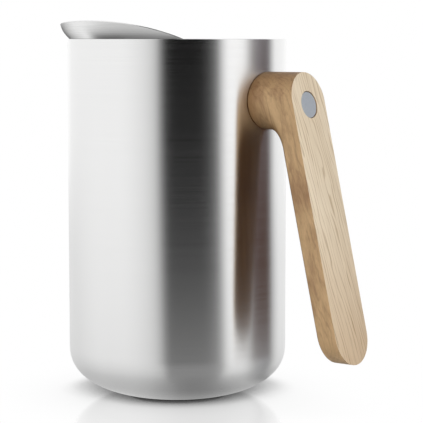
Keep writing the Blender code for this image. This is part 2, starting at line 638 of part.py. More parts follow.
def hang(empty, point, items):
    """Hangs items, with the helpers that shape them, on an empty that was modelled at the point."""
    for item in items:
        helpers = [modifier.object for modifier in item.modifiers if modifier.type == "BOOLEAN"]
        for hung in [item, *helpers]:
            hung.parent = empty
            hung.matrix_parent_inverse = Matrix.Translation(point).inverted()


def build():
    for old in list(bpy.data.objects):
        bpy.data.objects.remove(old, do_unlink=True)

    brushed_steel = material("brushed steel", (0.60, 0.60, 0.61), 0.32, 1.0)
    satin_steel = material("satin steel", (0.62, 0.62, 0.63), 0.22, 1.0)
    bare_steel = material("bare steel", (0.52, 0.52, 0.53), 0.40, 1.0)
    oak = material("oak", (0.63, 0.46, 0.29), 0.55)
    grey_plastic = material("grey plastic", (0.34, 0.35, 0.40), 0.50)
    black_plastic = material("black plastic", (0.02, 0.02, 0.02), 0.45)
    silicone = material("silicone", (0.05, 0.05, 0.05), 0.70)
    solder = material("solder glass", (0.12, 0.12, 0.11), 0.30)
    sintered = material("sintered getter", (0.20, 0.20, 0.20), 0.80)

    space_radius = BODY_RADIUS + SEAT_GAP
    shell_space = disc("shell space", space_radius, 0, RIM_HEIGHT, None, ROUND_STEPS)

    outer_shell(brushed_steel)
    inner_flask(brushed_steel)
    base_plate(bare_steel)
    vacuum_plug(solder)
    getter(bare_steel, sintered)
    base_pad(silicone)
    handle_grip(oak, shell_space)
    handle_cap(grey_plastic)
    handle_fixings(bare_steel, shell_space)

    seat_point = (0, 0, SEAT_HEIGHT)
    hinge_point = (HINGE_REACH, 0, HINGE_HEIGHT)
    flap = joint_empty("flap", hinge_point)
    hang(flap, hinge_point, [flap_body(black_plastic), flap_cover(satin_steel), *flap_seals(silicone)])
    lid = joint_empty("lid", seat_point)
    lid_pieces = [pouring_ring(satin_steel), stopper_body(black_plastic), hinge_pin(bare_steel)]
    hang(lid, seat_point, [*lid_pieces, flap])
    lid.rotation_euler.z = LID_TURN
    seals = joint_empty("seals", seat_point)
    hang(seals, seat_point, [lid_seal(silicone), stopper_gasket(silicone), lid])


build()
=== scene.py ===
import json
import math

import bmesh
import bpy
from mathutils import Matrix, Vector


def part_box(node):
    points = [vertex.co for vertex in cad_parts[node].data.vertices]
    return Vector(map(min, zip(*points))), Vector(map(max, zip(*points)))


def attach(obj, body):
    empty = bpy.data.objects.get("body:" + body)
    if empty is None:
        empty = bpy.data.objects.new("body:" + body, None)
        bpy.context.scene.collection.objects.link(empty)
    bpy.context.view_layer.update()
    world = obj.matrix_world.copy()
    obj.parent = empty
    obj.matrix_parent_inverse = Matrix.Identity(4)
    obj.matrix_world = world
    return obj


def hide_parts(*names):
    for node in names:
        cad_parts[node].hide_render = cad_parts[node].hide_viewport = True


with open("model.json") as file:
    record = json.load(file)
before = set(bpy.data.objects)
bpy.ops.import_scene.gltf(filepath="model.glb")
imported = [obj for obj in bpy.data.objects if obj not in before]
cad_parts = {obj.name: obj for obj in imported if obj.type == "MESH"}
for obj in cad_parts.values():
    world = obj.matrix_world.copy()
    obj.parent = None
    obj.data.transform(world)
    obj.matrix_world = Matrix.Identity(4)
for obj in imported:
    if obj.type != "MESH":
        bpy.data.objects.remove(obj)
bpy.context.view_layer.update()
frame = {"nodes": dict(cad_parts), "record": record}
scene = bpy.context.scene
mm = 0.001
fit = 0.3 * mm  # room between pieces that go together
cutOver = 2 * mm  # how far a cutter stands out of what it cuts
wideRound, midRound, smallRound = 160, 96, 48  # facets round a ring, a cap and a bore

# sizes that every piece leans on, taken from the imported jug
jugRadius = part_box("outer_shell")[1].x
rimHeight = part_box("outer_shell")[1].z
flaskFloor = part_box("inner_flask")[0].z
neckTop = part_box("inner_flask")[1].z
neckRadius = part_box("inner_flask")[1].x
hinge = next(joint for joint in frame["record"]["behaviour"]["joints"] if joint["name"] == "flap_tilt")
hingePoint = Vector(hinge["pos_m"])
hingeReach = math.hypot(hingePoint.x, hingePoint.y)
# turns a lid that is drawn with its spout at -X
lidTurn = Matrix.Rotation(math.atan2(hingePoint.y, hingePoint.x), 4, "Z")
alongX = Matrix.Rotation(math.pi / 2, 4, "Y")
alongY = Matrix.Rotation(-math.pi / 2, 4, "X")
print("frame loaded, rim at", round(rimHeight / mm, 1), "mm")


# mesh helpers

unmoved = Matrix.Identity(4)
closest = 1e-7  # points nearer than this, in metres, are one
sharpFrom = 38  # degrees between faces from which an edge stays sharp


def easedLoop(corners, steps):
    # corners are (radius, height, rounding); a rounding of 0 keeps the corner sharp
    loop = []
    for index, (across, height, rounding) in enumerate(corners):
        here = Vector((across, height))
        if rounding == 0:
            loop.append(here)
            continue
        toBefore = (Vector(corners[index - 1][:2]) - here).normalized()
        toAfter = (Vector(corners[(index + 1) % len(corners)][:2]) - here).normalized()
        half = toBefore.angle(toAfter) / 2
        centre = here + (toBefore + toAfter).normalized() * (rounding / math.sin(half))
        start = here + toBefore * (rounding / math.tan(half)) - centre
        end = here + toAfter * (rounding / math.tan(half)) - centre
        for step in range(steps + 1):
            loop.append(centre + start.lerp(end, step / steps).normalized() * rounding)
    return loop


def bridge(shape, ring, following):
    for index in range(max(len(ring), len(following))):
        corners = [ring[index % len(ring)], ring[(index + 1) % len(ring)]]
        corners += [following[(index + 1) % len(following)], following[index % len(following)]]
        corners = list(dict.fromkeys(corners))
        if len(corners) > 2:
            shape.faces.new(corners)


def skin(shape, rings, closed=False):
    for ring, following in zip(rings, rings[1:] + (rings[:1] if closed else [])):
        bridge(shape, ring, following)


def arcPoints(radius, start, end, steps, centre=(0, 0)):
    angles = [start + (end - start) * step / steps for step in range(steps + 1)]
    x, y = centre
    return [(x + radius * math.cos(angle), y + radius * math.sin(angle)) for angle in angles]


def ringVerts(shape, radius, height, segments=128, place=unmoved):
    points = arcPoints(radius, 0, 2 * math.pi, segments)[:-1]
    return [shape.verts.new(place @ Vector((x, y, height))) for x, y in points]


def rodLoop(radius, low, high):
    return [(0, low), (radius, low), (radius, high), (0, high)]


def turnedShape(loop, segments, place=unmoved):
    # a loop that starts on the axis also ends on it, any other loop is closed
    shape = bmesh.new()
    rings = []
    for across, height in loop:
        if across < closest:
            rings.append([shape.verts.new(place @ Vector((0, 0, height)))])
        else:
            rings.append(ringVerts(shape, across, height, segments, place))
    skin(shape, rings, loop[0][0] >= closest)
    return shape


def slabShape(outline, low, high, place=unmoved):
    shape = bmesh.new()
    bottom = [shape.verts.new(place @ Vector((x, y, low))) for x, y in outline]
    top = [shape.verts.new(place @ Vector((x, y, high))) for x, y in outline]
    bridge(shape, bottom, top)
    shape.faces.new(bottom)
    shape.faces.new(top)
    return shape


def shade(mesh, sharpAngle):
    mesh.shade_smooth()
    mesh.set_sharp_from_angle(angle=math.radians(sharpAngle))


def makePiece(name, shape, finish=None, sharpAngle=sharpFrom):
    bmesh.ops.remove_doubles(shape, verts=shape.verts, dist=closest)
    bmesh.ops.recalc_face_normals(shape, faces=shape.faces)
    mesh = bpy.data.meshes.new(name)
    shape.to_mesh(mesh)
    shape.free()
    if finish:
        mesh.materials.append(finish)
    shade(mesh, sharpAngle)
    piece = bpy.data.objects.new(name, mesh)
    scene.collection.objects.link(piece)
    return piece


def turnedPiece(name, corners, segments, finish, place=unmoved, steps=4):
    return makePiece(name, turnedShape(easedLoop(corners, steps), segments, place), finish)


def settle(piece, sharpAngle=sharpFrom):
    # turns the modifiers into mesh
    made = bpy.data.meshes.new_from_object(piece.evaluated_get(bpy.context.evaluated_depsgraph_get()))
    old = piece.data
    piece.modifiers.clear()
    piece.data = made
    bpy.data.meshes.remove(old)
    made.name = piece.name
    shade(made, sharpAngle)


def carve(piece, shape, operation="DIFFERENCE"):
    tool = makePiece(piece.name + ".tool", shape)
    boolean = piece.modifiers.new("carve", "BOOLEAN")
    boolean.operation = operation
    boolean.solver = "EXACT"
    boolean.object = tool
    settle(piece)
    mesh = tool.data
    bpy.data.objects.remove(tool)
    bpy.data.meshes.remove(mesh)


def easeEdges(piece, width, segments=3, angle=50, sharpAngle=sharpFrom):
    bevel = piece.modifiers.new("eased", "BEVEL")
    bevel.width = width
    bevel.segments = segments
    bevel.limit_method = "ANGLE"
    bevel.angle_limit = math.radians(angle)
    bevel.harden_normals = False
    settle(piece, sharpAngle)


def dress(piece, body, slotName, *nodes):
    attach(piece, body)
    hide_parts(*nodes)


# node helpers

def putNode(tree, kind, inputs=None, **settings):
    node = tree.nodes.new("ShaderNode" + kind)
    for key, value in settings.items():
        setattr(node, key, value)
    for key, value in (inputs or {}).items():
        socket = node.inputs[key]
        if isinstance(value, bpy.types.NodeSocket):
            tree.links.new(value, socket)
        else:
            socket.default_value = (*value, 1) if socket.type == "RGBA" else value
    return node


def putMath(tree, operation, first, second=0.0, third=0.0, clamp=False):
    inputs = {0: first, 1: second, 2: third}
    return putNode(tree, "Math", inputs, operation=operation, use_clamp=clamp).outputs[0]


def putTimes(tree, first, second):
    return putMath(tree, "MULTIPLY", first, second)


def putTimesPlus(tree, first, second, third, clamp=False):
    return putMath(tree, "MULTIPLY_ADD", first, second, third, clamp)


def putRange(tree, value, ends, low=0.0, high=1.0, kind="LINEAR"):
    inputs = {"Value": value, "From Min": ends[0], "From Max": ends[1], "To Min": low, "To Max": high}
    return putNode(tree, "MapRange", inputs, interpolation_type=kind).outputs["Result"]


def putFade(tree, value, ends, low=0.0, high=1.0):
    return putRange(tree, value, ends, low, high, "SMOOTHSTEP")


def putMix(tree, factor, first, second, blend="MIX"):
    node = putNode(tree, "Mix", {0: factor, 6: first, 7: second}, data_type="RGBA", blend_type=blend)
    return node.outputs[2]


def putStretch(tree, vector, scale):
    return putNode(tree, "VectorMath", {0: vector, 1: scale}, operation="MULTIPLY").outputs[0]


def putDot(tree, vector, direction):
    return putNode(tree, "VectorMath", {0: vector, 1: direction}, operation="DOT_PRODUCT").outputs["Value"]


def putNoise(tree, vector, scale=1.0, detail=2.0, roughness=0.5, distortion=0.0):
    inputs = {"Vector": vector, "Scale": scale, "Detail": detail}
    inputs.update({"Roughness": roughness, "Distortion": distortion})
    return putNode(tree, "TexNoise", inputs).outputs["Fac"]


def putRamp(tree, value, stops):
    node = putNode(tree, "ValToRGB", {0: value})
    ramp = node.color_ramp
    while len(ramp.elements) < len(stops):
        ramp.elements.new(0.5)
    for element, (position, _) in zip(ramp.elements, stops):
        element.position = position
    for element, (_, tone) in zip(ramp.elements, stops):
        element.color = (*tone, 1) if isinstance(tone, tuple) else (tone, tone, tone, 1)
    return node.outputs["Color"]


def startGroup(name, inputs, outputs):
    group = bpy.data.node_groups.new(name, "ShaderNodeTree")
    kind = "NodeSocketFloat"
    for label, value in inputs.items():
        group.interface.new_socket(label, in_out="INPUT", socket_type=kind).default_value = value
    for label in outputs:
        group.interface.new_socket(label, in_out="OUTPUT", socket_type=kind)
    source = group.nodes.new("NodeGroupInput")
    target = group.nodes.new("NodeGroupOutput")
    return group, source, target


def putGroup(tree, group, values):
    node = tree.nodes.new("ShaderNodeGroup")
    node.node_tree = group
    for label, value in values.items():
        node.inputs[label].default_value = value
    return node


def startFinish(name, values):
    made = bpy.data.materials.new(name)
    made.use_nodes = True
    shader = made.node_tree.nodes["Principled BSDF"]
    for label, value in values.items():
        shader.inputs[label].default_value = value
    return made, made.node_tree, shader


def linkFinish(tree, shader, tone, rough, height, strength, depth):
    bump = putNode(tree, "Bump", {"Strength": strength, "Distance": depth, "Height": height})
    for label, socket in (("Base Color", tone), ("Roughness", rough), ("Normal", bump.outputs[0])):
        tree.links.new(socket, shader.inputs[label])


def objectCoordinates(tree):
    return putNode(tree, "TexCoord").outputs["Object"]


# effects that several finishes share

def makeTurnedBrush():
    # fine lines that run round Z, as a belt leaves them on a turned body
    inputs = {"Line Height mm": 0.5, "Line Length mm": 40.0, "Break Up": 0.5}
    group, source, target = startGroup("turnedBrush", inputs, ("Lines", "Height"))
    place = objectCoordinates(group)
    rise = putMath(group, "DIVIDE", 1000.0, source.outputs["Line Height mm"])
    run = putMath(group, "DIVIDE", 1000.0, source.outputs["Line Length mm"])
    scale = putNode(group, "CombineXYZ", {0: run, 1: run, 2: rise}).outputs[0]
    fine = putNoise(group, putStretch(group, place, scale), 1.0, 1.0, 0.5)
    wide = putNoise(group, putStretch(group, place, scale), 0.23, 1.0, 0.5)
    uneven = putMath(group, "SUBTRACT", wide, 0.5)
    mixed = putTimesPlus(group, uneven, source.outputs["Break Up"], fine)
    group.links.new(putRange(group, mixed, (0.34, 0.66)), target.inputs["Lines"])
    group.links.new(fine, target.inputs["Height"])
    return group


def makeSoftSmudge():
    # broad unevenness, as hands and cloths leave it
    inputs = {"Size mm": 30.0, "Low": 0.4, "High": 0.6}
    group, source, target = startGroup("softSmudge", inputs, ("Smudge",))
    place = objectCoordinates(group)
    scale = putMath(group, "DIVIDE", 1000.0, source.outputs["Size mm"])
    cloud = putNoise(group, place, scale, 4.0, 0.6, 0.4)
    spread = putFade(group, cloud, (source.outputs["Low"], source.outputs["High"]))
    group.links.new(spread, target.inputs["Smudge"])
    return group


def makeMouldGrain():
    # spark-eroded grain of a moulding tool
    group, source, target = startGroup("mouldGrain", {"Grain mm": 0.4}, ("Tone", "Height"))
    place = objectCoordinates(group)
    scale = putMath(group, "DIVIDE", 1000.0, source.outputs["Grain mm"])
    cells = putNode(group, "TexVoronoi", {"Vector": place, "Scale": scale}, feature="SMOOTH_F1")
    cloud = putNoise(group, place, putTimes(group, scale, 0.35), 3.0, 0.6)
    group.links.new(putTimesPlus(group, cells.outputs["Distance"], 0.5, cloud), target.inputs["Height"])
    group.links.new(putRange(group, cloud, (0.3, 0.7)), target.inputs["Tone"])
    return group


turnedBrush = makeTurnedBrush()
softSmudge = makeSoftSmudge()
mouldGrain = makeMouldGrain()


# finishes

filmTone = (0.72, 0.71, 0.69)
scratchDepth = 0.02 * mm
mouldDepth = 0.05 * mm


def putWorn(tree, mask, settings, film):
    # two tones by a mask, under a film that lies in smudges
    smudge = putGroup(tree, softSmudge, {"Size mm": settings["smudge"]}).outputs[0]
    tone = putMix(tree, mask, settings["dark"], settings["light"])
    return smudge, putMix(tree, putTimes(tree, smudge, settings["film"]), tone, film)


def makeSteel(name, settings):
    values = {"Metallic": 1.0, "Anisotropic": settings["anisotropy"], "Anisotropic Rotation": 0.25}
    made, tree, shader = startFinish(name, values)
    brush = putGroup(tree, turnedBrush, settings["brush"])
    lines = brush.outputs["Lines"]
    smudge, tone = putWorn(tree, lines, settings, filmTone)
    low, high = settings["roughness"]
    rough = putRange(tree, lines, (0, 1), high, low)
    rough = putTimesPlus(tree, smudge, settings["haze"], rough)
    linkFinish(tree, shader, tone, rough, brush.outputs["Height"], settings["scratch"], scratchDepth)
    tangent = putNode(tree, "Tangent", direction_type="RADIAL", axis="Z")
    tree.links.new(tangent.outputs[0], shader.inputs["Tangent"])
    return made


brushedSteel = makeSteel("brushedSteel", {
    "anisotropy": 0.9,
    "roughness": (0.2225, 0.2685),
    "dark": (0.889, 0.889, 0.886),
    "light": (0.897, 0.897, 0.894),
    "brush": {"Line Height mm": 0.6, "Line Length mm": 420.0, "Break Up": 0.3},
    "scratch": 0.01,
    "smudge": 45.0,
    "film": 0.014,
    "haze": 0.004,
})
satinSteel = makeSteel("satinSteel", {
    "anisotropy": 0.3,
    "roughness": (0.19, 0.23),
    "dark": (0.84, 0.84, 0.835),
    "light": (0.90, 0.90, 0.895),
    "brush": {"Line Height mm": 0.4, "Line Length mm": 30.0, "Break Up": 0.4},
    "scratch": 0.05,
    "smudge": 25.0,
    "film": 0.05,
    "haze": 0.03,
})
bareSteel = makeSteel("bareSteel", {
    "anisotropy": 0.4,
    "roughness": (0.30, 0.42),
    "dark": (0.48, 0.48, 0.49),
    "light": (0.60, 0.60, 0.60),
    "brush": {"Line Height mm": 0.3, "Line Length mm": 6.0, "Break Up": 0.8},
    "scratch": 0.3,
    "smudge": 12.0,
    "film": 0.2,
    "haze": 0.08,
})

oak = {
    "lean": math.radians(12.7),
    "slant": math.tan(math.radians(9.0)),
    "faceLight": (0.885, 0.755, 0.575),
    "faceDark": (0.60, 0.455, 0.295),
    # the sides' darker tones are partly the wood's own and partly painted shade
    "sideLight": (0.685, 0.46, 0.243),
    "sideDark": (0.40, 0.235, 0.12),
    "pore": (0.26, 0.145, 0.07),
    "ringWidth": (3.1 * mm, 2.3 * mm),
    "ringWaver": 5.2,
    "ringLine": (0.40, 0.99),
    "ringBreaks": ((0.36, 0.62), 0.12),
    "bandTone": ((0.35, 0.70), 0.0, 0.38),
    "fibreTone": 0.9,
    "fibreSpan": (0.3, 0.7),
    "faceTurn": (0.45, 0.9),
    "faceLine": 0.95,
    "sideLine": 0.34,
    "poreMask": (0.60, 0.72),
    "poreDepth": 0.42,
    "poreShare": (0.7, 0.3),
    "blotchMask": (0.42, 0.70),
    "blotch": 0.50,
    "streak": 0.62,
    "streakAt": 86.0 * mm,
    "streakLength": 16.0 * mm,
    "footTint": (0.80, 0.71, 0.63),
    "footDim": (100.0 * mm, 22.0 * mm),
    # painted shade of the wood: its tint, and how far it reaches against the body, on top and on the inner
    # side
    "shadeTint": (0.46, 0.335, 0.23),
    "bodyShadeReach": (jugRadius + 9 * mm, jugRadius - 3 * mm),
    "bodyShade": 0.82,
    "topShadeFacing": (0.25, 0.95),
    "topShade": 0.58,
    "innerShadeFacing": (0.3, 0.85),
    "roughness": (0.42, 0.58),
    "lineDepth": 0.4,
    "bump": 0.22,
    "bumpDepth": 0.08 * mm,
}
# per metre through the bar, across it and along it
oakGrain = {
    "waver": (90, 90, 16),
    "broken": (420, 420, 30),
    "bands": (130, 150, 10),
    "fibres": (2300, 2300, 80),
    "pores": (1700, 2000, 95),
    "mottle": (240, 240, 48),
}


def makeOak():
    # grain runs down the bar; the face is paler than the sides, whose darker, deeper tone is partly the
    # wood's own and partly painted shade
    made, tree, shader = startFinish("oiledOak", {"Specular IOR Level": 0.35})
    lean = oak["lean"]
    texture = putNode(tree, "TexCoord")
    place = texture.outputs["Object"]
    along = putDot(tree, place, (-math.sin(lean), 0, math.cos(lean)))
    through = putDot(tree, place, (math.cos(lean), 0, math.sin(lean)))
    slant = oak["slant"]
    across = putDot(tree, place, (-slant * math.sin(lean), 1, slant * math.cos(lean)))
    grainPlace = putNode(tree, "CombineXYZ", {0: through, 1: across, 2: along}).outputs[0]

    def grainNoise(kind, detail, roughness=0.5, distortion=0.0):
        stretched = putStretch(tree, grainPlace, oakGrain[kind])
        return putNoise(tree, stretched, 1.0, detail, roughness, distortion)

    # growth rings, cut as thin dark lines that waver and come and go
    waver = grainNoise("waver", 3.0, 0.55)
    throughStep, acrossStep = oak["ringWidth"]
    rings = putMath(tree, "DIVIDE", across, acrossStep)
    rings = putTimesPlus(tree, through, 1 / throughStep, rings)
    rings = putTimesPlus(tree, waver, oak["ringWaver"], rings)
    wave = putMath(tree, "SINE", putTimes(tree, rings, 2 * math.pi))
    line = putFade(tree, wave, oak["ringLine"])
    line = putTimes(tree, line, putRange(tree, grainNoise("broken", 2.0), *oak["ringBreaks"]))

    bands = grainNoise("bands", 2.0, 0.5, 0.3)
    fibres = grainNoise("fibres", 3.0, 0.6)
    pores = grainNoise("pores", 2.0)
    mottle = grainNoise("mottle", 3.0, 0.6, 0.4)
    grain = putRange(tree, bands, *oak["bandTone"])
    grain = putTimesPlus(tree, putMath(tree, "SUBTRACT", fibres, 0.5), oak["fibreTone"], grain)

    normal = texture.outputs["Normal"]
    outwards = putDot(tree, normal, (math.cos(lean), 0, math.sin(lean)))
    onFace = putFade(tree, outwards, oak["faceTurn"])
    faceGrain = putTimesPlus(tree, line, oak["faceLine"], grain, clamp=True)
    face = putMix(tree, faceGrain, oak["faceLight"], oak["faceDark"])
    away = putMath(tree, "SUBTRACT", along, oak["streakAt"])
    away = putMath(tree, "ABSOLUTE", putMath(tree, "DIVIDE", away, oak["streakLength"]))
    streak = putFade(tree, away, (0, 1), oak["streak"], 0.0)
    blotch = putFade(tree, mottle, oak["blotchMask"], 0.0, oak["blotch"])
    blotch = putMath(tree, "ADD", grain, putMath(tree, "ADD", blotch, streak))
    sideGrain = putTimesPlus(tree, line, oak["sideLine"], blotch, clamp=True)
    side = putMix(tree, sideGrain, oak["sideLight"], oak["sideDark"])
    # sides darker than the face: partly wood tone, partly painted shade
    wood = putMix(tree, onFace, side, face)
    poreMask = putFade(tree, pores, oak["poreMask"], 0.0, oak["poreDepth"])
    poreMask = putTimes(tree, poreMask, putTimesPlus(tree, line, *oak["poreShare"]))
    wood = putMix(tree, poreMask, wood, oak["pore"])

    # deeper in tone down the bar; painted shade where the stem meets the body, on faces turned upwards and
    # on the inner side that faces the body
    parts = putNode(tree, "SeparateXYZ", {0: place})
    foot = putRange(tree, parts.outputs["Z"], oak["footDim"])
    foot = putTimes(tree, foot, onFace)
    wood = putMix(tree, foot, wood, putMix(tree, 1.0, wood, oak["footTint"], "MULTIPLY"))
    # painted shade where the stem meets the body
    seat = putFade(tree, parts.outputs["X"], oak["bodyShadeReach"], 0.0, oak["bodyShade"])
    upwards = putDot(tree, normal, (0, 0, 1))
    topShadeMask = putFade(tree, upwards, oak["topShadeFacing"], 0.0, oak["topShade"])
    innerShadeMask = putFade(tree, putTimes(tree, outwards, -1.0), oak["innerShadeFacing"])
    paintedShade = putMath(tree, "MAXIMUM", putMath(tree, "MAXIMUM", seat, topShadeMask), innerShadeMask)
    wood = putMix(tree, paintedShade, wood, putMix(tree, 1.0, wood, oak["shadeTint"], "MULTIPLY"))
    rough = putRange(tree, fibres, oak["fibreSpan"], *oak["roughness"])
    height = putMath(tree, "SUBTRACT", fibres, putTimesPlus(tree, line, oak["lineDepth"], poreMask))
    linkFinish(tree, shader, wood, rough, height, oak["bump"], oak["bumpDepth"])
    return made


oiledOak = makeOak()


def makeMoulded(name, settings):
    made, tree, shader = startFinish(name, {"Specular IOR Level": settings["specular"]})
    grain = putGroup(tree, mouldGrain, {"Grain mm": settings["grain"]})
    smudge, tone = putWorn(tree, grain.outputs["Tone"], settings, settings["dust"])
    rough = putRange(tree, smudge, (0, 1), *settings["roughness"])
    linkFinish(tree, shader, tone, rough, grain.outputs["Height"], settings["bump"], mouldDepth)
    return made


greyPlastic = makeMoulded("greyPlastic", {
    "dark": (0.37, 0.40, 0.445),
    "light": (0.43, 0.46, 0.505),
    "dust": (0.50, 0.51, 0.53),
    "film": 0.15,
    "roughness": (0.48, 0.60),
    "specular": 0.4,
    "grain": 0.25,
    "smudge": 6.0,
    "bump": 0.12,
})
blackPlastic = makeMoulded("blackPlastic", {
    "dark": (0.012, 0.012, 0.013),
    "light": (0.024, 0.024, 0.025),
    "dust": (0.07, 0.07, 0.068),
    "film": 0.12,
    "roughness": (0.40, 0.52),
    "specular": 0.5,
    "grain": 0.35,
    "smudge": 14.0,
    "bump": 0.25,
})
silicone = makeMoulded("silicone", {
    "dark": (0.028, 0.028, 0.029),
    "light": (0.045, 0.045, 0.046),
    "dust": (0.14, 0.135, 0.13),
    "film": 0.25,
    "roughness": (0.60, 0.78),
    "specular": 0.35,
    "grain": 0.5,
    "smudge": 9.0,
    "bump": 0.15,
})
solderGlass = makeMoulded("solderGlass", {
    "dark": (0.07, 0.07, 0.065),
    "light": (0.13, 0.13, 0.12),
    "dust": (0.20, 0.20, 0.18),
    "film": 0.2,
    "roughness": (0.22, 0.34),
    "specular": 0.6,
    "grain": 1.2,
    "smudge": 3.0,
    "bump": 0.3,
})
getterAlloy = makeMoulded("getterAlloy", {
    "dark": (0.13, 0.13, 0.13),
    "light": (0.24, 0.24, 0.235),
    "dust": (0.30, 0.29, 0.28),
    "film": 0.3,
    "roughness": (0.75, 0.9),
    "specular": 0.3,
    "grain": 0.3,
    "smudge": 2.0,
    "bump": 0.6,
})

print("finishes made:", len(bpy.data.materials))


# outer shell

shell = {
    "wall": 0.8 * mm,
    "rimRound": 0.38 * mm,
    "curveWidth": 41.8 * mm,
    "curveHeight": 26.0 * mm,
    "curveSwell": 0.8,
    "curveStart": 1.3,
    "padSeat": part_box("base_pad")[1].x + fit,
    "recess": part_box("base_pad")[1].z + fit,
    "flange": 10.0 * mm,
    "edge": 0.25 * mm,
    "segments": 256,
    "curveSteps": 40,
}


def baseCorners(inset, end, steps):
    # an ellipse whose upper end sets in gradually from the straight side
    centre = jugRadius - shell["curveWidth"]
    wide = shell["curveWidth"] - inset
    tall = shell["curveHeight"] - inset
    corners = []
    for step in range(steps + 1):
        angle = end * (step / steps) ** shell["curveStart"]
        height = shell["curveHeight"] - tall * math.sin(angle) ** shell["curveSwell"]
        corners.append((centre + wide * math.cos(angle), height, 0))
    return corners


def makeShell():
    wall = shell["wall"]
    centre = jugRadius - shell["curveWidth"]
    floorHigh = shell["recess"] + wall
    outerEnd = math.acos((shell["padSeat"] - centre) / shell["curveWidth"])
    innerShare = (shell["curveHeight"] - floorHigh) / (shell["curveHeight"] - wall)
    innerEnd = math.asin(innerShare ** (1 / shell["curveSwell"]))
    opening = shell["padSeat"] - shell["flange"]
    corners = [(jugRadius - wall, rimHeight, shell["rimRound"]), (jugRadius, rimHeight, shell["rimRound"])]
    outer = baseCorners(0, outerEnd, shell["curveSteps"])
    outer[-1] = (*outer[-1][:2], shell["edge"])
    corners += outer
    corners += [(shell["padSeat"], shell["recess"], 0), (opening, shell["recess"], shell["edge"])]
    corners += [(opening, floorHigh, shell["edge"])]
    corners += reversed(baseCorners(wall, innerEnd, shell["curveSteps"]))
    piece = turnedPiece("jugShell", corners, shell["segments"], brushedSteel, steps=5)
    dress(piece, "jug", "brushed_steel", "outer_shell")


# inner flask

flask = {
    "wall": 0.7 * mm,
    "corner": 20.0 * mm,
    "gap": 5.1 * mm,
    "seatDrop": 18.0 * mm,
    "seatWidth": 2.2 * mm,
    "shoulderRise": 3.5 * mm,
    "bend": 0.9 * mm,
    "edge": 0.25 * mm,
    "segments": 192,
    "steps": 14,
}


def makeFlask():
    wall = flask["wall"]
    outer = jugRadius - shell["wall"] - flask["gap"]
    inner = outer - wall
    neckInner = neckRadius - wall
    seat = rimHeight - flask["seatDrop"]
    slope = seat - flask["shoulderRise"]
    seatInner = neckInner - flask["seatWidth"]
    bend = flask["bend"]
    centre = (inner - flask["corner"], flaskFloor + wall + flask["corner"])
    corners = [(0, flaskFloor, 0)]
    corners += [(*p, 0) for p in arcPoints(flask["corner"] + wall, -math.pi / 2, 0, flask["steps"], centre)]
    under = seat - wall
    corners += [(outer, slope, bend), (seatInner + wall / 2, under, bend), (neckRadius, under, bend)]
    corners += [(neckRadius, neckTop, flask["edge"]), (neckInner, neckTop, flask["edge"])]
    corners += [(neckInner, seat, bend / 2), (seatInner, seat, bend / 2), (inner, slope, bend)]
    corners += [(*p, 0) for p in arcPoints(flask["corner"], 0, -math.pi / 2, flask["steps"], centre)]
    corners += [(0, flaskFloor + wall, 0)]
    piece = turnedPiece("flaskLiner", corners, flask["segments"], brushedSteel)
    dress(piece, "jug", "brushed_steel", "inner_flask")


# base pad

pad = {"edge": 0.6 * mm, "grooves": (7.0 * mm, 13.0 * mm, 19.0 * mm), "groove": 0.5 * mm}


def makePad():
    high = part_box("base_pad")[1]
    depth = pad["groove"]
    corners = [(0, 0, 0)]
    for reach in pad["grooves"]:
        corners += [(reach + 2 * side * depth, depth * (1 - abs(side)), depth / 2) for side in (-1, 0, 1)]
    corners += [(high.x, 0, pad["edge"]), (high.x, high.z, pad["edge"] / 2), (0, high.z, 0)]
    piece = turnedPiece("footPad", corners, wideRound, silicone)
    dress(piece, "jug", "silicone", "base_pad")


makeShell()
makeFlask()
makePad()
print("vessel made")


# oak handle

grip = {
    "stemDrop": 29.8 * mm,
    "width": 28.0 * mm,
    "thickness": 10.5 * mm,
    "reach": 24.3 * mm,
    "endHeight": 25.9 * mm,
    "lean": oak["lean"],
    "fillet": 14.0 * mm,
    "innerEdge": 1.2 * mm,
    "squaring": 1.5,
    "edge": 0.9 * mm,
    "steps": 20,
    "gap": fit,
}
fixing = {
    "drop": 1.4 * mm,
    "capRadius": 6.3 * mm,
    "capThickness": 2.6 * mm,
    "capEdge": 0.35 * mm,
    "capDome": 0.12 * mm,
    "domeSteps": 8,
    "pocket": 7.3 * mm,
    "pocketEnd": jugRadius + 6.3 * mm,
    "bore": 2.5 * mm,
    "headBore": 5.2 * mm,
    "headSeat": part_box("handle_washer")[0].x - grip["gap"],
    "pinRise": 10.0 * mm,
    "pinHole": 1.8 * mm,
    "pinEnd": jugRadius + 7.3 * mm,
    "pinFacets": 32,
}
stemHeight = rimHeight - grip["stemDrop"]
faceReach = jugRadius + grip["reach"]
fixingHeight = stemHeight - fixing["drop"]
capPlace = Matrix.Translation((faceReach + fixing["drop"] * math.tan(grip["lean"]), 0, fixingHeight))
capPlace = capPlace @ Matrix.Rotation(math.pi / 2 - grip["lean"], 4, "Y")


def gripSection(start, along, halfWidth, edge, facePoint, faceNormal):
    # half a slice, from the middle of the inner side round to the middle of the face
    radius = grip["width"] / 2
    steps = grip["steps"]
    toFace = (facePoint - start).dot(faceNormal) / along.dot(faceNormal)
    faceHeight = start.y + toFace * along.y
    corner = min(edge, halfWidth)
    points = [(0.0, 0.0)]
    for step in range(steps):
        turn = math.pi / 2 * step / (steps - 1)
        points.append((halfWidth - corner + corner * math.sin(turn), corner - corner * math.cos(turn)))
    rise = min(max(faceHeight - stemHeight, 0.0) / radius, 1.0)
    for step in range(steps):
        turn = math.asin(rise) * step / (steps - 1)
        if rise > 0:
            height = stemHeight + radius * math.sin(turn)
            points.append((halfWidth * math.cos(turn), (height - start.y) / along.y))
        else:
            points.append((halfWidth, corner + (toFace - corner) * (step + 1) / steps))
    points.append((0.0, points[-1][1]))
    return [(start.x + along.x * depth, side, start.y + along.y * depth) for side, depth in points]


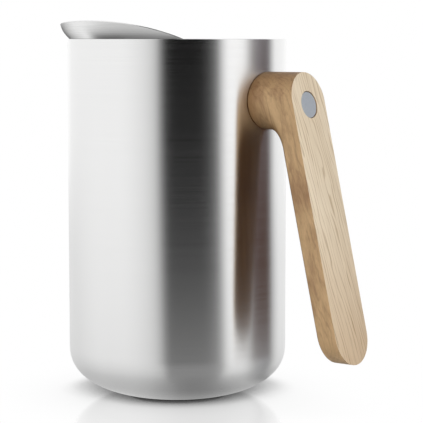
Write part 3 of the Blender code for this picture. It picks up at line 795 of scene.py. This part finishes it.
def gripStations(facePoint, normal):
    # from the body along the stem, round the fillet and down the bar
    radius = grip["width"] / 2
    steps = grip["steps"]
    fillet = grip["fillet"]
    lean = grip["lean"]
    inner = facePoint - grip["thickness"] * normal
    centreHeight = stemHeight - radius - fillet
    centreDrop = (centreHeight - inner.y) * normal.y
    centre = Vector((inner.x - (fillet + centreDrop) / normal.x, centreHeight))
    rays = [math.pi / 2]
    for step in range(steps):
        height = stemHeight + radius * math.cos(math.pi / 2 * step / (steps - 1))
        onFace = Vector((faceReach - (height - stemHeight) * math.tan(lean), height))
        rays.append(math.atan2(onFace.y - centre.y, onFace.x - centre.x))
    lastOnStem = rays[-1]
    rays += [lastOnStem + (lean - lastOnStem) * step / (steps - 1) for step in range(1, steps)]
    stations = [(Vector((jugRadius - fillet, stemHeight - radius)), Vector((0, 1)), radius, radius)]
    for ray in rays:
        along = Vector((math.cos(ray), math.sin(ray)))
        squared = ((ray - lean) / (math.pi / 2 - lean)) ** grip["squaring"]
        edge = grip["innerEdge"] + (radius - grip["innerEdge"]) * squared
        stations.append((centre + fillet * along, along, radius, edge))
    for step in range(steps):
        turn = math.pi / 2 * step / (steps - 1)
        height = grip["endHeight"] + radius - radius * math.sin(turn)
        start = Vector((inner.x + (inner.y - height) * math.tan(lean), height))
        stations.append((start, Vector((1, 0)), radius * math.cos(turn), grip["innerEdge"]))
    return stations


def makeGrip():
    normal = Vector((math.cos(grip["lean"]), math.sin(grip["lean"])))
    facePoint = Vector((faceReach, stemHeight))
    shape = bmesh.new()
    rings = []
    for station in gripStations(facePoint, normal):
        half = gripSection(*station, facePoint, normal)
        mirrored = [(x, -y, z) for x, y, z in reversed(half[1:-1])]
        rings.append([shape.verts.new(point) for point in half + mirrored])
    skin(shape, rings)
    shape.faces.new(reversed(rings[0]))
    piece = makePiece("oakGrip", shape, oiledOak)
    easeEdges(piece, grip["edge"], 4)
    carve(piece, turnedShape(rodLoop(jugRadius + grip["gap"], 0, rimHeight), shell["segments"]))
    screwPlace = Matrix.Translation((0, 0, fixingHeight)) @ alongX
    bore = rodLoop(fixing["pocket"], 0, fixing["pocketEnd"])[:-1]
    bore += rodLoop(fixing["bore"], fixing["pocketEnd"], fixing["headSeat"])[1:-1]
    bore += rodLoop(fixing["headBore"], fixing["headSeat"], faceReach + cutOver)[1:]
    carve(piece, turnedShape(bore, smallRound, screwPlace))
    recess = rodLoop(fixing["capRadius"] + grip["gap"], -fixing["capThickness"] - grip["gap"], cutOver)
    carve(piece, turnedShape(recess, midRound, capPlace))
    pinPlace = Matrix.Translation((0, 0, fixing["pinRise"])) @ screwPlace
    pinHole = rodLoop(fixing["pinHole"], 0, fixing["pinEnd"])
    carve(piece, turnedShape(pinHole, fixing["pinFacets"], pinPlace))
    dress(piece, "jug", "oak", "handle_grip")


def makeCap():
    radius = fixing["capRadius"]
    edge = fixing["capEdge"]
    dome = fixing["capDome"]
    corners = [(0, -fixing["capThickness"], 0), (radius, -fixing["capThickness"], edge)]
    corners += [(radius, -dome - edge / 2, edge / 2)]
    for step in range(fixing["domeSteps"]):
        share = 1 - (step + 1) / fixing["domeSteps"]
        corners.append(((radius - edge) * share, -dome * share**2, 0))
    piece = turnedPiece("gripCap", corners, midRound, greyPlastic, capPlace)
    dress(piece, "jug", "grey_plastic", "handle_cap")


makeGrip()
makeCap()
print("handle made")


# pouring ring with its flared lip

lip = {
    "wall": 0.8 * mm,
    "hem": 3.0 * mm,
    "height": 8.8 * mm,
    "crest": 44.0 * mm,
    "arcRadius": 132.0 * mm,
    "notch": 3.0 * mm,
    "flare": math.tan(math.radians(32.0)),
    "bulge": 0.8,
    "dip": 1.2 * mm,
    "dipAngle": math.radians(10.0),
    "segments": 288,
    "neckLevels": 4,
    "levels": 22,
    "edgeSteps": 8,
    "sharpAngle": 50,
}
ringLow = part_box("pouring_ring")[0].z
ringOuter = neckRadius - flask["wall"] - fit
ringInner = ringOuter - lip["wall"]


def lipRise(angle):
    # height of the lip's edge over the rim at an angle from the spout
    along = (neckRadius + lip["height"] * lip["flare"]) * math.cos(angle) - lip["crest"]
    fall = lip["arcRadius"] - math.sqrt(max(0.0, lip["arcRadius"] ** 2 - along**2))
    turnedBy = math.remainder(angle, 2 * math.pi) / lip["dipAngle"]
    edge = lip["height"] - fall - lip["dip"] * math.exp(-(turnedBy**2))
    return (edge - lip["notch"] + math.sqrt((edge + lip["notch"]) ** 2 + lip["wall"] ** 2)) / 2


def lipLoop(angle):
    wall = lip["wall"]
    rise = lipRise(angle)
    edge = rimHeight + rise
    bend = min(rimHeight, (neckTop + edge) / 2)
    heights = [neckTop + (bend - neckTop) * level / lip["neckLevels"] for level in range(lip["neckLevels"])]
    heights += [bend + (edge - bend) * level / (lip["levels"] - 1) for level in range(lip["levels"])]
    outside = []
    for height in heights:
        radius = ringOuter + (neckRadius - ringOuter) * min(1.0, (height - neckTop) / (rimHeight - neckTop))
        if height > rimHeight:
            share = (height - rimHeight) / rise
            radius += rise * lip["flare"] * share * (1 + lip["bulge"] * (1 - share))
        outside.append((radius, height))
    inside = [(radius - wall, height) for radius, height in reversed(outside)]
    rounded = []
    middle = outside[-1][0] - wall / 2
    for step in range(1, lip["edgeSteps"]):
        turn = math.pi * step / lip["edgeSteps"]
        rounded.append((middle + wall / 2 * math.cos(turn), edge - wall / 2 + wall / 2 * math.sin(turn)))
    outside[-1] = (outside[-1][0], edge - wall / 2)
    inside[0] = (inside[0][0], edge - wall / 2)
    loop = [(ringOuter - lip["hem"], ringLow), (ringOuter - wall, ringLow)]
    loop += [(ringOuter - wall * 0.3, ringLow + wall * 0.3), (ringOuter, ringLow + wall)]
    loop += outside + rounded + inside
    loop += [(ringInner, ringLow + 1.5 * wall), (ringInner - wall / 2, ringLow + wall)]
    loop += [(ringOuter - lip["hem"], ringLow + wall)]
    return loop


def makeLip():
    shape = bmesh.new()
    rings = []
    for segment in range(lip["segments"]):
        angle = 2 * math.pi * segment / lip["segments"]
        ring = []
        for radius, height in lipLoop(angle):
            point = Vector((-radius * math.cos(angle), -radius * math.sin(angle), height))
            ring.append(shape.verts.new(lidTurn @ point))
        rings.append(ring)
    skin(shape, rings, True)
    piece = makePiece("pouringLip", shape, satinSteel, lip["sharpAngle"])
    dress(piece, "lid", "satin_steel", "pouring_ring")


# stopper moulding

stopper = {
    "deck": 2.8 * mm,
    "plugRadius": 47.4 * mm,
    "wall": 2.2 * mm,
    "grooveRise": 3.5 * mm,
    "grooveHeight": 4.0 * mm,
    "grooveDepth": 1.2 * mm,
    "pourRadius": 13.0 * mm,
    "pourReach": 25.2 * mm,
    "ventRadius": 3.0 * mm,
    "ventReach": hingeReach - 20.0 * mm,
    "earRadius": 3.6 * mm,
    "earInside": 18.3 * mm,
    "earWidth": 3.5 * mm,
    "earRoom": 1.0 * mm,
    "pinRadius": 1.25 * mm,
    "pinBore": 1.45 * mm,
    "pinEdge": 0.45 * mm,
    "edge": 0.5 * mm,
    "easeAngle": 60,
    "earSteps": 24,
    "fillerSteps": 48,
}
deckLow = ringLow + lip["wall"] + fit
deckHigh = deckLow + stopper["deck"]
deckRadius = ringInner - fit
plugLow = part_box("stopper_body")[0].z
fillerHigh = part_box("stopper_body")[1].z
hingePlace = lidTurn @ Matrix.Translation((hingeReach, 0, hingePoint.z)) @ alongY
pourPlace = lidTurn @ Matrix.Translation((-stopper["pourReach"], 0, 0))
ventPlace = lidTurn @ Matrix.Translation((stopper["ventReach"], 0, 0))


def holeLoop(radius, low, high, edge):
    # cutter that also eases the upper edge of its hole
    loop = [*rodLoop(radius, low, high - edge)[:-1], (radius + edge * 0.3, high - edge * 0.3)]
    return loop + rodLoop(radius + edge, high, high + cutOver)[1:]


def makeStopper():
    edge = stopper["edge"]
    outer = stopper["plugRadius"]
    inner = outer - stopper["wall"]
    grooveLow = plugLow + stopper["grooveRise"]
    grooveHigh = grooveLow + stopper["grooveHeight"]
    floor = outer - stopper["grooveDepth"]
    corners = [(0, deckLow, 0), (inner, deckLow, edge), (inner, plugLow, edge), (outer, plugLow, edge)]
    corners += [(outer, grooveLow, edge / 2), (floor, grooveLow, 0), (floor, grooveHigh, 0)]
    corners += [(outer, grooveHigh, edge / 2), (outer, deckLow, edge), (deckRadius, deckLow, edge / 2)]
    corners += [(deckRadius, deckHigh, edge), (0, deckHigh, 0)]
    piece = turnedPiece("stopperMoulding", corners, wideRound, blackPlastic, lidTurn)

    root = deckLow + stopper["deck"] / 2
    reach = stopper["earRadius"]
    foot = hingePoint.z - root
    ear = [(-reach, foot), *arcPoints(reach, math.pi, 2 * math.pi, stopper["earSteps"]), (reach, foot)]
    for low in (stopper["earInside"], -stopper["earInside"] - stopper["earWidth"]):
        carve(piece, slabShape(ear, low, low + stopper["earWidth"], hingePlace), "UNION")
    front = hingeReach + reach + stopper["earRoom"]
    fillerRadius = deckRadius - fit
    opening = math.acos(front / fillerRadius)
    filler = arcPoints(fillerRadius, -opening, opening, stopper["fillerSteps"])
    carve(piece, slabShape(filler, root, fillerHigh, lidTurn), "UNION")
    easeEdges(piece, edge * 0.6, 3, stopper["easeAngle"])
    pour = (stopper["pourRadius"], midRound, pourPlace)
    vent = (stopper["ventRadius"], smallRound, ventPlace)
    for radius, segments, place in (pour, vent):
        hole = holeLoop(radius, deckLow - cutOver, deckHigh, edge)
        carve(piece, turnedShape(hole, segments, place))
    along = stopper["earInside"] + stopper["earWidth"] + cutOver
    carve(piece, turnedShape(rodLoop(stopper["pinBore"], -along, along), smallRound, hingePlace))
    dress(piece, "lid", "black_plastic", "stopper_body")


# seals and hinge pin

seals = {"gasketEdge": 0.25 * mm, "lidEdge": 0.35 * mm, "flapBead": 0.35 * mm, "flapLap": 2.0 * mm}


def makeGasket():
    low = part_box("stopper_gasket")[0].z
    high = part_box("stopper_gasket")[1].z
    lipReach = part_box("stopper_gasket")[1].x
    outer = stopper["plugRadius"]
    inner = outer - stopper["grooveDepth"] + fit
    middle = (low + high) / 2
    edge = seals["gasketEdge"]
    corners = [(inner, high, edge), (outer, high, edge / 2), (lipReach, (middle + high) / 2, edge)]
    corners += [(outer, middle, edge), (lipReach, (low + middle) / 2, edge), (outer, low, edge / 2)]
    corners += [(inner, low, edge)]
    piece = turnedPiece("plugGasket", corners, wideRound, silicone)
    dress(piece, "seals", "silicone", "stopper_gasket")


def makeLidSeal():
    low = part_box("lid_seal")[0].z
    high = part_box("lid_seal")[1].z
    inner = neckRadius - flask["wall"] - flask["seatWidth"]
    middle = (inner + ringOuter) / 2
    edge = seals["lidEdge"]
    corners = [(ringOuter, high, edge), (ringOuter, low, edge), (middle + 2 * edge, low, edge / 3)]
    corners += [(middle, low + edge, edge / 3), (middle - 2 * edge, low, edge / 3)]
    corners += [(inner, low, edge), (inner, high, edge)]
    piece = turnedPiece("lidSeal", corners, wideRound, silicone)
    dress(piece, "seals", "silicone", "lid_seal")


def makeHingePin():
    half = stopper["earInside"] + stopper["earWidth"]
    radius = stopper["pinRadius"]
    edge = stopper["pinEdge"]
    corners = [(0, -half, 0), (radius, -half, edge), (radius, half, edge), (0, half, 0)]
    piece = turnedPiece("hingePin", corners, smallRound, bareSteel, hingePlace, 5)
    dress(piece, "lid", "bare_steel", "hinge_pin")


makeLip()
makeStopper()
makeGasket()
makeLidSeal()
makeHingePin()
print("lid made")


# flap

flap = {
    "gap": 1.6 * mm,
    "corner": 9.2 * mm,
    "plate": 3.0 * mm,
    "barrelRadius": 2.8 * mm,
    "barrelLength": 36.0 * mm,
    "barrelFacets": 64,
    "coverWall": 0.8 * mm,
    "skirt": 2.0 * mm,
    "coverEdge": 0.55 * mm,
    "plateEdge": 0.4 * mm,
    "easeAngle": 60,
    "steps": 160,
}
flapBack = hingeReach - stopper["earRadius"] - stopper["earRoom"]
coverRadius = ringInner - flap["gap"]
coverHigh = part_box("flap_cover")[1].z
coverLow = coverHigh - flap["coverWall"]


def plateOutline(radius, back, corner):
    opening = math.acos((back - corner) / radius)
    side = radius * math.sin(opening) - corner
    return [(back, side), *arcPoints(radius, opening, 2 * math.pi - opening, flap["steps"]), (back, -side)]


def makeFlapPlate():
    high = coverLow - fit
    low = high - flap["plate"]
    half = flap["barrelLength"] / 2
    outline = plateOutline(coverRadius - flap["coverWall"] - fit, flapBack, flap["corner"])
    outline += [(flapBack, -half), (hingeReach, -half), (hingeReach, half), (flapBack, half)]
    piece = makePiece("flapPlate", slabShape(outline, low, high, lidTurn), blackPlastic)
    barrel = rodLoop(flap["barrelRadius"], -half, half)
    carve(piece, turnedShape(barrel, flap["barrelFacets"], hingePlace), "UNION")
    easeEdges(piece, flap["plateEdge"], 3, flap["easeAngle"])
    along = half + cutOver
    carve(piece, turnedShape(rodLoop(stopper["pinBore"], -along, along), smallRound, hingePlace))
    dress(piece, "flap", "black_plastic", "flap_body")


def makeFlapCover():
    low = coverLow - flap["skirt"]
    outline = plateOutline(coverRadius, flapBack, flap["corner"])
    piece = makePiece("flapCover", slabShape(outline, low, coverHigh, lidTurn), satinSteel)
    easeEdges(piece, flap["coverEdge"], 4, flap["easeAngle"])
    hollow = plateOutline(coverRadius - flap["coverWall"], flapBack + cutOver, flap["corner"] - cutOver)
    carve(piece, slabShape(hollow, low - cutOver, coverLow, lidTurn))
    dress(piece, "flap", "satin_steel", "flap_cover")


def makeFlapSeals():
    places = {
        "pourSeal": ("flap_seal", pourPlace, stopper["pourRadius"]),
        "ventSeal": ("vent_seal", ventPlace, stopper["ventRadius"]),
    }
    bead = seals["flapBead"]
    for name, (node, place, radius) in places.items():
        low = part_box(node)[0].z
        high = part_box(node)[1].z
        outer = radius + seals["flapLap"]
        corners = [(0, low + bead, 0), (radius - bead, low + bead, bead / 2), (radius, low, bead / 2)]
        corners += [(outer, low, bead), (outer, high, bead), (0, high, 0)]
        piece = turnedPiece(name, corners, midRound, silicone, place)
        dress(piece, "flap", "silicone", node)


makeFlapPlate()
makeFlapCover()
makeFlapSeals()
print("flap made")


# solids that stay as they are, with their finishes

keptFinishes = {
    "base_plate": bareSteel,
    "vacuum_plug": solderGlass,
    "getter_holder": bareSteel,
    "getter_pellet": getterAlloy,
    "handle_boss": bareSteel,
    "locating_pin": bareSteel,
    "handle_screw": bareSteel,
    "handle_washer": bareSteel,
}
for node, finish in keptFinishes.items():
    holder = frame["nodes"][node]
    if not holder.material_slots:
        holder.data.materials.append(finish)
    for slot in holder.material_slots:
        slot.material = finish
print("kept solids finished:", len(keptFinishes))


# camera at the photograph's angle

view = {
    "azimuth": math.radians(37.59),
    "pitch": math.radians(5.786),
    "yaw": math.radians(1.155),
    "distance": 0.86186,
    "height": 0.180,
    "focal": 1704.16,
    "picture": 423,
    "sensor": 36,
    "clipStart": 0.01,
}
viewRight = Vector((math.cos(view["azimuth"]), math.sin(view["azimuth"]), 0))
viewAway = Vector((-math.sin(view["azimuth"]), math.cos(view["azimuth"]), 0))


def makeCamera():
    upwards = Vector((0, 0, 1))
    ahead = viewAway * math.cos(view["yaw"]) + viewRight * math.sin(view["yaw"])
    right = viewRight * math.cos(view["yaw"]) - viewAway * math.sin(view["yaw"])
    look = ahead * math.cos(view["pitch"]) - upwards * math.sin(view["pitch"])
    up = upwards * math.cos(view["pitch"]) + ahead * math.sin(view["pitch"])
    data = bpy.data.cameras.new("photoView")
    data.sensor_width = view["sensor"]
    data.lens = view["focal"] * view["sensor"] / view["picture"]
    data.clip_start = view["clipStart"]
    camera = bpy.data.objects.new("photoView", data)
    place = Matrix((right, up, -look)).transposed().to_4x4()
    place.translation = -viewAway * view["distance"] + upwards * view["height"]
    camera.matrix_world = place
    scene.collection.objects.link(camera)
    scene.camera = camera


makeCamera()


# studio: white floor, a set that only the steel sees, and lamps that it doesn't see

studio = {
    "floorRadius": 6.0,
    "wallRadius": 1.5,
    "wallLow": -0.05,
    "wallHigh": 12.0,
    "glowReach": (1.0 * mm, 1.6),
    "glowHeight": -1.0 * mm,
    "floorTone": (0.92, 0.92, 0.92),
    "floorGloss": 0.05,
    "floorIor": 1.45,
    "polish": (0.11, 0.24),
    "sideLight": 0.30,
    "topLight": 0.05,
    "topFrom": 0.9,
    "bandShift": (math.radians(5.8), math.radians(-0.4)),
    "sideShift": math.radians(12.0),
    "sideReach": (0.05, 0.16),
    "sideTurns": (math.radians(50), math.radians(95)),
    "underReach": (0.051, 0.083),
    "footReach": (0.046, 0.032),
    "footGlow": 0.13,
    "shadowSamples": 16,
    "contactReach": 0.06,
    # painted shadow towards the front, as from a softbox that is not in the scene
    "frontShadowRise": math.radians(12),
    "frontShadowReach": 0.035,
    "frontShadowEnd": (0.052, 0.066),
}
# brightness of the floor by how open the air over it is
contactTones = [
    (0.0, 0.15), (0.05, 0.53), (0.12, 0.73), (0.20, 0.81), (0.30, 0.85), (0.44, 0.88), (0.62, 0.93),
    (0.78, 0.98), (0.92, 1.0),
]
# and by how open it is towards the front and a little above: a painted shadow of the jug, as from a softbox
# that is not in the scene, which also dims the floor's mirror image
frontShadowTones = [
    (0.0, 0.08), (0.48, 0.14), (0.58, 0.30), (0.66, 0.52), (0.74, 0.76), (0.82, 0.94), (0.90, 1.0),
]
mirrorShadowTones = [(0.0, 0.25), (0.52, 0.42), (0.62, 0.60), (0.70, 0.82), (0.78, 0.97), (0.84, 1.0)]
# brightness of the backdrop by degrees round from the photograph's side, to the right
wallTones = [
    (-180, 1.0), (-158, 1.0), (-148, 0.97), (-60, 0.98), (-48, 0.93), (-35, 0.83), (-28, 0.73), (-22, 0.58),
    (-17, 0.20), (-12, 0.0), (24, 0.0), (31, 0.02), (37, 0.07), (43, 0.20), (49, 0.76), (55, 1.06),
    (72, 1.06), (77, 0.96), (84, 0.72), (93, (0.465, 0.47, 0.50)), (103, (0.28, 0.283, 0.31)),
    (111, (0.29, 0.293, 0.32)), (116.5, 0.55), (125, 0.96), (158, 1.0), (180, 1.0),
]
# share of that tone that the floor keeps, and grey that it adds, by distance in metres: a painted shadow of
# the jug on the floor that the steel mirrors
floorTones = [
    (0.03, 0.28, 0.22), (0.04, 0.34, 0.25), (0.05, 0.40, 0.25), (0.085, 0.465, 0.28), (0.13, 0.515, 0.295),
    (0.18, 0.56, 0.275), (0.26, 0.65, 0.22), (0.36, 0.76, 0.14), (0.55, 0.84, 0.06), (1.0, 0.93, 0.0),
    (1.5, 1.0, 0.0),
]
# the floor is dimmer beside the handle and towards the back, by the same degrees
floorDim = [
    (-180, 0.80), (-135, 0.86), (-100, 1.0), (66, 1.0), (83, 0.55), (93, 0.44), (109, 0.36), (120, 0.57),
    (136, 0.92), (180, 0.86),
]
# painted shade of the floor right under the jug's edge, as the steel mirrors it
underTones = [
    (-180, 0.54), (-117, 0.55), (-63, 0.52), (-42, 0.455), (-28, 0.38), (-16, 0.32), (-3, 0.25), (9, 0.228),
    (22, 0.228), (35, 0.25), (50, 0.30), (64, 0.41), (80, 0.485), (98, 0.41), (116, 0.31), (134, 0.28),
    (152, 0.37), (180, 0.54),
]
# painted reflection of the handle: a brown stretch of the backdrop and the floor beside it, by the same
# degrees
handleReflection = {
    "tone": (0.052, 0.015, 0.003),
    "turns": [(74, 0.0), (80, 0.4), (85, 0.9), (89, 1.0), (108, 1.0), (112.5, 0.6), (117, 0.0)],
    "reach": (0.12, 0.30),
    "height": (0.10, 0.50),
}
# card that the lip mirrors, next to the rim and further out, by degrees round the lip
lipTones = {
    "lift": 0.1 * mm,
    "inner": neckRadius + 0.1 * mm,
    "outer": 0.083,
    "flare": 0.056,
    "outwards": [
        (0.0, 0.0), (0.042, 0.12), (0.084, 0.34), (0.137, 0.56), (0.214, 0.72), (0.32, 0.84), (0.5, 0.93),
        (1.0, 1.0),
    ],
    "nearStops": [
        (-180, 0.2), (-100, 0.08), (-86, 0.10), (-79, 0.26), (-72, 0.46), (-68, 0.56), (-63, 0.70),
        (-57, 0.84), (-54, 0.84), (-51, 0.60), (-48, 0.32), (-45, 0.19), (-41, 0.14), (-32, 0.14),
        (-25, 0.19), (-10, 0.25), (5, 0.26), (40, 0.2), (120, 0.3), (180, 0.2),
    ],
    "farStops": [
        (-180, 0.5), (-110, 0.2), (-96, 0.12), (-90, 0.22), (-84, 0.38), (-79, 0.50), (-72, 0.70),
        (-68, 0.80), (-63, 0.90), (-55, 0.92), (-46, 0.88), (-41, 0.80), (-38, 0.76), (-34, 0.72),
        (-30, 0.70), (-25, 0.66), (-15, 0.64), (0, 0.62), (40, 0.6), (120, 0.7), (180, 0.5),
    ],
}


def plainTurn(tree, place):
    toFront = putDot(tree, place, tuple(-viewAway))
    toRight = putDot(tree, place, tuple(viewRight))
    return putMath(tree, "ARCTAN2", toRight, toFront)


def steelTurn(tree, place):
    # twice the turn of the steel that shows this place, so that each tone stands as an upright band in it
    twice = putTimes(tree, reachFrom(tree, place), 2.0)
    faster = putMath(tree, "DIVIDE", twice, putMath(tree, "SUBTRACT", twice, jugRadius))
    far = putTimes(tree, plainTurn(tree, place), faster)
    aside = putMath(tree, "DIVIDE", putDot(tree, place, tuple(viewRight)), jugRadius)
    under = putTimes(tree, putMath(tree, "ARCSINE", aside), 2.0)
    isUnder = putMath(tree, "LESS_THAN", twice, 2 * jugRadius)
    return putNode(tree, "Mix", {0: isUnder, 2: far, 3: under}, data_type="FLOAT").outputs[0]


def turnRamp(tree, turn, stops):
    # 0 to 1 round from behind the jug, with the photograph's side at a half
    share = putRange(tree, turn, (-math.pi, math.pi))
    return putRamp(tree, share, [((degrees + 180) / 360, tone) for degrees, tone in stops])


def reachFrom(tree, place):
    level = putStretch(tree, place, (1, 1, 0))
    return putNode(tree, "VectorMath", {0: level}, operation="LENGTH").outputs["Value"]


def startCard(name):
    made = bpy.data.materials.new(name)
    made.use_nodes = True
    tree = made.node_tree
    tree.nodes.clear()
    return made, tree, tree.nodes.new("ShaderNodeOutputMaterial")


def glowForSteel(tree, tone):
    # no light from the cards reaches the wood by way of the steel
    path = putNode(tree, "LightPath")
    strength = putMath(tree, "SUBTRACT", 1.0, path.outputs["Diffuse Depth"], clamp=True)
    return putNode(tree, "Emission", {"Color": tone, "Strength": strength}).outputs[0]


def onlyForSteel(card):
    for ray in ("camera", "diffuse", "transmission", "volume_scatter", "shadow"):
        setattr(card, "visible_" + ray, False)


def ringCard(name, inner, outer, height, finish):
    shape = bmesh.new()
    bridge(shape, ringVerts(shape, inner, height), ringVerts(shape, outer, height))
    card = makePiece(name, shape, finish)
    if card.data.polygons[0].normal.z < 0:
        card.data.flip_normals()
    return card


def makeWall():
    made, tree, out = startCard("wallGlow")
    place = putNode(tree, "NewGeometry").outputs["Position"]
    turn = putMath(tree, "SUBTRACT", steelTurn(tree, place), studio["bandShift"][1])
    rise = putNode(tree, "SeparateXYZ", {0: place}).outputs["Z"]
    # painted reflection of the handle, on the backdrop
    wallHandleBand = putFade(tree, rise, handleReflection["height"], 1.0, 0.0)
    wallHandleBand = putTimes(tree, wallHandleBand, turnRamp(tree, turn, handleReflection["turns"]))
    tone = putMix(tree, wallHandleBand, turnRamp(tree, turn, wallTones), handleReflection["tone"])
    tree.links.new(glowForSteel(tree, tone), out.inputs[0])
    shape = bmesh.new()
    bridge(shape, *(ringVerts(shape, studio["wallRadius"], studio[end]) for end in ("wallLow", "wallHigh")))
    onlyForSteel(makePiece("studioWall", shape, made))


def makeFloorGlow():
    made, tree, out = startCard("floorGlow")
    place = putNode(tree, "NewGeometry").outputs["Position"]
    reach = reachFrom(tree, place)
    turn = steelTurn(tree, place)
    lag = putRange(tree, reach, (0, studio["wallRadius"]), *studio["bandShift"])
    sideLag = putFade(tree, reach, studio["sideReach"], studio["sideShift"], 0.0)
    atSide = putFade(tree, turn, studio["sideTurns"])
    turn = putMath(tree, "SUBTRACT", turn, putTimesPlus(tree, sideLag, atSide, lag))
    near = floorTones[0][0]
    span = math.log(floorTones[-1][0] / near)
    nearTimes = putMath(tree, "DIVIDE", reach, near)
    share = putMath(tree, "DIVIDE", putMath(tree, "LOGARITHM", nearTimes, math.e), span)
    places = [math.log(row[0] / near) / span for row in floorTones]
    # painted shadow of the jug, darker and greyer nearer to it
    keep, grey = (
        putRamp(tree, share, list(zip(places, column))) for column in list(zip(*floorTones))[1:])
    tone = putMix(tree, 1.0, turnRamp(tree, turn, wallTones), keep, "MULTIPLY")
    tone = putMix(tree, 1.0, tone, turnRamp(tree, turn, floorDim), "MULTIPLY")
    tone = putMix(tree, 1.0, tone, grey, "ADD")
    # painted reflection of the handle, on the floor card
    floorHandleBand = putFade(tree, reach, handleReflection["reach"])
    floorHandleBand = putTimes(tree, floorHandleBand, turnRamp(tree, turn, handleReflection["turns"]))
    tone = putMix(tree, floorHandleBand, tone, handleReflection["tone"])
    # painted shade under the jug's edge
    under = putFade(tree, reach, studio["underReach"], 1.0, 0.0)
    tone = putMix(tree, under, tone, turnRamp(tree, turn, underTones))
    foot = putFade(tree, reach, studio["footReach"], 0.0, studio["footGlow"])
    tone = putMix(tree, 1.0, tone, foot, "ADD")
    tree.links.new(glowForSteel(tree, tone), out.inputs[0])
    onlyForSteel(ringCard("studioFloorGlow", *studio["glowReach"], studio["glowHeight"], made))


def makeLipGlow():
    made, tree, out = startCard("lipGlow")
    geometry = putNode(tree, "NewGeometry")
    place = geometry.outputs["Position"]
    reach = reachFrom(tree, place)
    slower = putMath(tree, "SUBTRACT", putTimes(tree, reach, 2.0), lipTones["flare"])
    turn = putTimes(tree, plainTurn(tree, place), putMath(tree, "DIVIDE", reach, slower))
    outwards = putRange(tree, reach, (lipTones["inner"], lipTones["outer"]))
    outwards = putRamp(tree, outwards, lipTones["outwards"])
    near = turnRamp(tree, turn, lipTones["nearStops"])
    far = turnRamp(tree, turn, lipTones["farStops"])
    glow = glowForSteel(tree, putMix(tree, outwards, near, far))
    clear = putNode(tree, "BsdfTransparent").outputs[0]
    seen = putNode(tree, "MixShader", {0: geometry.outputs["Backfacing"], 1: glow, 2: clear})
    tree.links.new(seen.outputs[0], out.inputs[0])
    height = rimHeight + lipTones["lift"]
    onlyForSteel(ringCard("studioLipGlow", lipTones["inner"], studio["wallRadius"], height, made))


def makeFloor():
    made, tree, out = startCard("paleFloor")
    path = putNode(tree, "LightPath")
    samples = studio["shadowSamples"]
    shadow = putNode(tree, "AmbientOcclusion", {"Distance": studio["contactReach"]}, samples=samples)
    # painted shadow: occlusion towards the front and a little above stands in for a softbox lamp that is
    # not there, and it also darkens the floor's mirror image near the jug
    rise = studio["frontShadowRise"]
    facing = Vector((0, 0, math.sin(rise))) - viewAway * math.cos(rise)
    facing = putNode(tree, "CombineXYZ", {"X": facing.x, "Y": facing.y, "Z": facing.z}).outputs[0]
    boxInputs = {"Distance": studio["frontShadowReach"], "Normal": facing}
    frontShadow = putNode(tree, "AmbientOcclusion", boxInputs, samples=samples).outputs["AO"]
    dim = putRamp(tree, shadow.outputs["AO"], contactTones)
    reach = reachFrom(tree, putNode(tree, "NewGeometry").outputs["Position"])
    close = putFade(tree, reach, studio["frontShadowEnd"], 1.0, 0.0)
    dim = putMix(tree, close, dim, putRamp(tree, frontShadow, frontShadowTones), "MULTIPLY")
    mirrored = putMix(tree, close, (1, 1, 1), putRamp(tree, frontShadow, mirrorShadowTones), "MULTIPLY")
    glow = putNode(tree, "Emission", {"Color": dim})
    gloss = putNode(tree, "BsdfGlossy", {"Color": mirrored, "Roughness": studio["floorGloss"]})
    fresnel = putNode(tree, "Fresnel", {"IOR": studio["floorIor"]})
    polish = putFade(tree, reach, studio["polish"], 1.0, 0.0)
    polish = putTimes(tree, fresnel.outputs[0], polish)
    seen = putNode(tree, "MixShader", {0: polish, 1: glow.outputs[0], 2: gloss.outputs[0]})
    plain = putNode(tree, "BsdfDiffuse", {"Color": studio["floorTone"]})
    isSeen = path.outputs["Is Camera Ray"]
    both = putNode(tree, "MixShader", {0: isSeen, 1: plain.outputs[0], 2: seen.outputs[0]})
    tree.links.new(both.outputs[0], out.inputs[0])
    shape = bmesh.new()
    shape.faces.new(ringVerts(shape, studio["floorRadius"], 0, 96))
    floor = makePiece("studioFloor", shape, made)
    floor.visible_glossy = False


def makeWorld():
    world = bpy.data.worlds.new("studioAir")
    scene.world = world
    world.use_nodes = True
    tree = world.node_tree
    background = tree.nodes["Background"]
    path = putNode(tree, "LightPath")
    seen = putMath(tree, "ADD", path.outputs["Is Camera Ray"], path.outputs["Is Glossy Ray"])
    seen = putMath(tree, "ADD", seen, path.outputs["Is Transmission Ray"], clamp=True)
    rise = putNode(tree, "SeparateXYZ", {0: putNode(tree, "TexCoord").outputs["Generated"]}).outputs["Z"]
    dim = putFade(tree, rise, (0, studio["topFrom"]), studio["sideLight"], studio["topLight"])
    strength = putNode(tree, "Mix", {0: seen, 2: dim, 3: 1.0}, data_type="FLOAT").outputs[0]
    background.inputs["Color"].default_value = (1, 1, 1, 1)
    tree.links.new(strength, background.inputs["Strength"])


lamps = {
    "keyFromHandle": {"from": (0.93, -0.28, 0.15), "strength": 2.48, "angle": 40},
    "fillFromLeft": {"from": (-0.25, -0.95, 0.10), "strength": 1.47, "angle": 60},
}


def makeLamps():
    for name, lamp in lamps.items():
        data = bpy.data.lights.new(name, "SUN")
        data.energy = lamp["strength"]
        data.angle = math.radians(lamp["angle"])
        made = bpy.data.objects.new(name, data)
        made.rotation_euler = Vector(lamp["from"]).to_track_quat("Z", "Y").to_euler()
        made.visible_glossy = False
        scene.collection.objects.link(made)


makeWall()
makeFloorGlow()
makeLipGlow()
makeFloor()
makeWorld()
makeLamps()
scene.view_settings.view_transform = "Standard"
print("studio set")
